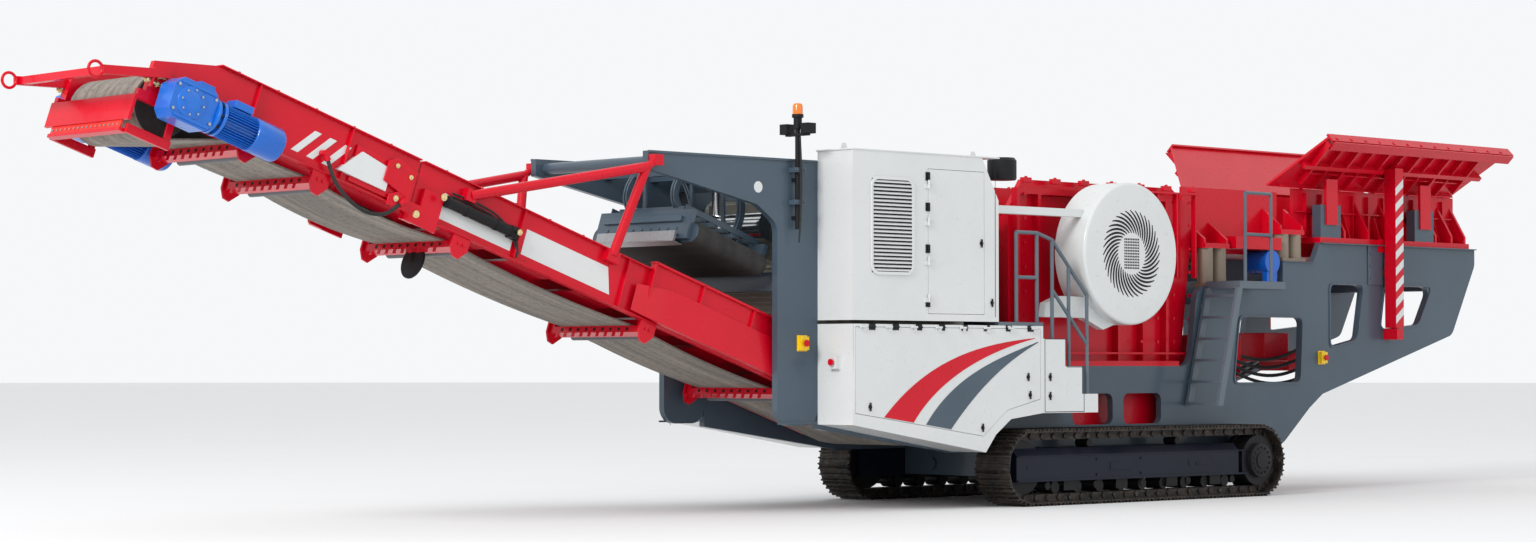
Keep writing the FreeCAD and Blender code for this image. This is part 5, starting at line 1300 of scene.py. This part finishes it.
def hanger(x, y, bulge):
    """A bar from the magnet's top to the beam: its middle stands out by the bulge, as half a sine wave."""
    low = MAGNET @ Vector((x, 0, 0.22))
    share = np.linspace(0, 1, 14)
    line = [low.x + bulge * np.sin(math.pi * share), np.full(14, y), low.z + (ARM_TOP - low.z) * share]
    flat_bar = [(-0.012, -0.035), (0.012, -0.035), (0.012, 0.035), (-0.012, 0.035)]
    return sweep(np.column_stack(line), flat_bar, up=(1, 0, 0.3))


arms = [hanger(x, y, bulge) for x, bulge in ((-0.35, -0.14), (0.35, 0.14))
        for y in (-0.40, -0.36, 0.36, 0.40)]
piece("magnet_arms", joined(arms), "slate", bevel=0.003)
deflector = [block((-0.63, -0.62, -0.13), (-0.60, 0.62, -0.02)),
             block((-0.63, -0.62, -0.135), (-0.50, 0.62, -0.125))]
piece("magnet_deflector", moved(joined(deflector), MAGNET), "steel")

# %% [markdown]
# The portal has a pale round mark and welded edge flanges. The beacon's mast is clamped to its post, and a
# cable hangs down beside the mast.

# %% Portal and mast
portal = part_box("portal_near")
mark = turned_part([(0.060, BEAM_FACE - 0.0025), (0.060, BEAM_FACE)], "y", (-2.80, 0, 3.43), 32)
piece("portal_mark", mark, "white")
clamps = [block((-2.36, -1.045, z), (-2.21, BEAM_FACE, z + 0.05)) for z in (3.26, 3.60)]
clamps.append(bolt_heads([(x, -1.045, z + 0.025) for x in (-2.34, -2.23) for z in (3.26, 3.60)]))
piece("mast_clamps", joined(clamps), "slate", bevel=0.003)
cable = np.column_stack([np.linspace(-2.285, -2.30, 14), -1.035 - 0.03 * np.sin(np.linspace(0, 3.1, 14)),
                         np.linspace(3.98, 2.86, 14)])
piece("mast_cable", sweep(cable, circle(0.010, 8), up=(1, 0, 0)), "hose")
edges = [block((portal[0][0] + 0.005, -0.955, 3.72), (-1.95, -0.935, 3.745)),
         block((-2.52, -0.955, 0.945), (-1.95, -0.935, 0.965))]
piece("portal_flanges", both_sides(joined(edges)), "slate", bevel=0.003)

# %% [markdown]
# The scraper at the belt's head has a polyurethane apron on two arms, bolted along its lower edge.

# %% Head apron
ARM_Y = 0.64
apron = side_plate([(-3.130, -0.330), (-3.112, -0.336), (-3.092, -0.020), (-3.110, -0.014)], -0.60, 0.60)
edge = [block((-3.140, -0.62, -0.365), (-3.06, 0.62, -0.330))]
for y in (-ARM_Y, ARM_Y):
    edge += [block((-3.09, y - 0.02, -0.365), (-2.62, y + 0.02, -0.28)),
             block((-2.70, y - 0.012, -0.35), (-2.63, y + 0.012, 0.0))]
bolts = bolt_heads([(-3.125, y, -0.300) for y in np.linspace(-0.56, 0.56, 16)], "x", 0.012, 0.010, -1)
piece("apron_sheet", moved(apron, SLOPE), "apron", body="head_section")
piece("apron_edge", moved(joined(edge), SLOPE), "red", body="head_section", bevel=0.003)
piece("apron_bolts", moved(bolts, SLOPE), "steel", body="head_section")

# %% [markdown]
# Behind the apron, two tensioning screws on each side set the drum. Each runs through two brackets and has
# three nuts. Farther down the slope, a dark disc on a stem closes the end of a return roller's guard.

# %% Tensioners and roller disc
SCREW_Y, SCREW_W = (-0.745, 0.745), (0.13, 0.20)
screws = [turned_part([(0.014, -3.12), (0.014, -2.80)], "x", (0, y, w), 12)
          for y in SCREW_Y for w in SCREW_W]
screws += [turned_part([(0.026, u), (0.026, u + 0.022)], "x", (0, y, w), 6)
           for y in SCREW_Y for w in SCREW_W for u in (-3.10, -2.99, -2.86)]
brackets = [block((u, y - 0.03, 0.08), (u + 0.02, y + 0.03, 0.26)) for y in SCREW_Y for u in (-3.05, -2.90)]
piece("tension_screws", moved(joined(screws), SLOPE), "zinc", body="head_section")
piece("tension_brackets", moved(joined(brackets), SLOPE), "red", body="head_section")
disc = turned_part([(0.17, 0.70), (0.175, 0.705), (0.175, 0.720), (0.17, 0.725)], "x", (0, 0, -0.20), 36)
stem = block((0.70, -0.02, -0.20), (0.72, 0.02, -0.095))
piece("roller_disc", moved(joined([disc, stem]), SLOPE), "black")

# %% [markdown]
# ## Edges of the chassis
# Flame-cut windows in a chassis plate have a flat rim welded round them. A rim is the window's outline and
# a larger copy of it, joined by four strips. Narrow flanges close the beam's upper steps in the same way.

# %% Window rims
def rim(outline, border=0.022, low=-0.953, high=-0.939):
    """A flat ring round an outline in X and Z: its outer copy is pushed away from the outline's middle."""
    outline = np.array(outline, float)
    outer = outline + border * np.sign(outline - outline.mean(axis=0))
    rings = [np.column_stack([line[:, 0], np.full(len(line), y), line[:, 1]])
             for line, y in ((outline, low), (outer, low), (outer, high), (outline, high))]
    return outward(grid(np.stack(rings), wrap_rows=True, wrap_columns=True))


def softened(outline, corner=0.09):
    """The outline with each corner replaced by a short curve between two points near it."""
    outline = np.array(outline, float)
    line = []
    for before, spot, after in zip(np.roll(outline, 1, axis=0), outline, np.roll(outline, -1, axis=0)):
        first = spot + corner * (before - spot) / np.linalg.norm(before - spot)
        last = spot + corner * (after - spot) / np.linalg.norm(after - spot)
        share = np.linspace(0, 1, 5)[:, None]
        line.append((1 - share) ** 2 * first + 2 * share * (1 - share) * spot + share ** 2 * last)
    return np.vstack(line)


windows = [[(5.245, 2.160), (6.485, 2.160), (6.435, 1.360), (5.125, 1.360)],
           [(7.065, 2.590), (7.765, 2.590), (7.625, 1.900), (7.065, 1.800)],
           [(8.235, 2.590), (9.255, 2.590), (8.955, 2.100), (8.125, 2.030)]]
rims = [rim(softened(outline)) for outline in windows]
rims += [block((6.87, -0.985, 3.098), (10.24, -0.86, 3.112)),
         block((6.115, -0.965, 2.852), (6.72, -0.86, 2.864)),
         block((4.60, -0.965, 2.514), (6.09, -0.86, 2.526))]
piece("chassis_rims", both_sides(joined(rims)), "slate", bevel=0.002)

# %% [markdown]
# ## Studio
# The machine stands on a wide pale floor under an even white sky. The plain view transform keeps the paint
# colours as they are set, where a filmic one would grey them.

# %% Floor and sky
world = bpy.data.worlds.new("sky")
bpy.context.scene.world = world
world.use_nodes = True
world.node_tree.nodes["Background"].inputs[0].default_value = (0.97, 0.985, 1.0, 1)
world.node_tree.nodes["Background"].inputs[1].default_value = 0.95
bpy.context.scene.view_settings.view_transform = "Standard"

recipe = Recipe("floor")
recipe.finish(recipe.mix(recipe.noise(0.4, 3), (0.78, 0.78, 0.78), (0.81, 0.81, 0.81)), 0.9)
FLOOR_RADIUS, FLOOR_CORNERS = 260.0, 64
ring = np.column_stack([circle(FLOOR_RADIUS, FLOOR_CORNERS), np.zeros(FLOOR_CORNERS)])
mesh = bpy.data.meshes.new("floor")
mesh.from_pydata(ring.tolist(), [], [list(range(FLOOR_CORNERS))])
mesh.materials.append(MATERIALS["floor"])
floor = bpy.data.objects.new("floor", mesh)
bpy.context.collection.objects.link(floor)
print("floor radius", FLOOR_RADIUS)

# %% [markdown]
# One large soft key light stands high on the camera's left, and a weaker one fills in from its right.

# %% Lights
def light(name, place, target, size, power):
    """An area light of a size in metres, aimed from a place at a target."""
    data = bpy.data.lights.new(name, "AREA")
    data.shape, data.size, data.energy = "DISK", size, power
    lamp = bpy.data.objects.new(name, data)
    bpy.context.collection.objects.link(lamp)
    lamp.location = place
    lamp.rotation_mode = "QUATERNION"
    lamp.rotation_quaternion = (Vector(target) - Vector(place)).to_track_quat("-Z", "Y")
    print(name, "light of", power, "watts")


light("key", (-40, -9, 24), (0, 0, 2), 12, 10500)
light("fill", (16, -36, 16), (2, 0, 2), 16, 500)

# %% [markdown]
# The camera stands at eye height, far off, and uses a long lens, so the machine keeps its shape. Its
# direction is given by two angles: how far it is turned from +X, and how far it looks up.

# %% Camera
CAMERA, TURN, TILT = (-24.866, -24.588, 1.560), math.radians(46.8), math.radians(1.755)
lens = bpy.data.cameras.new("camera")
lens.lens, lens.sensor_width = 72.66, 36.0
lens.clip_start, lens.clip_end = 0.5, 800
camera = bpy.data.objects.new("camera", lens)
bpy.context.collection.objects.link(camera)
bpy.context.scene.camera = camera
ahead = Vector((math.cos(TURN) * math.cos(TILT), math.sin(TURN) * math.cos(TILT), math.sin(TILT)))
camera.location = CAMERA
camera.rotation_mode = "QUATERNION"
camera.rotation_quaternion = ahead.to_track_quat("-Z", "Y")
print("camera at", tuple(round(c, 2) for c in camera.location))

# %% [markdown]

# %% Finish
print("scene built")
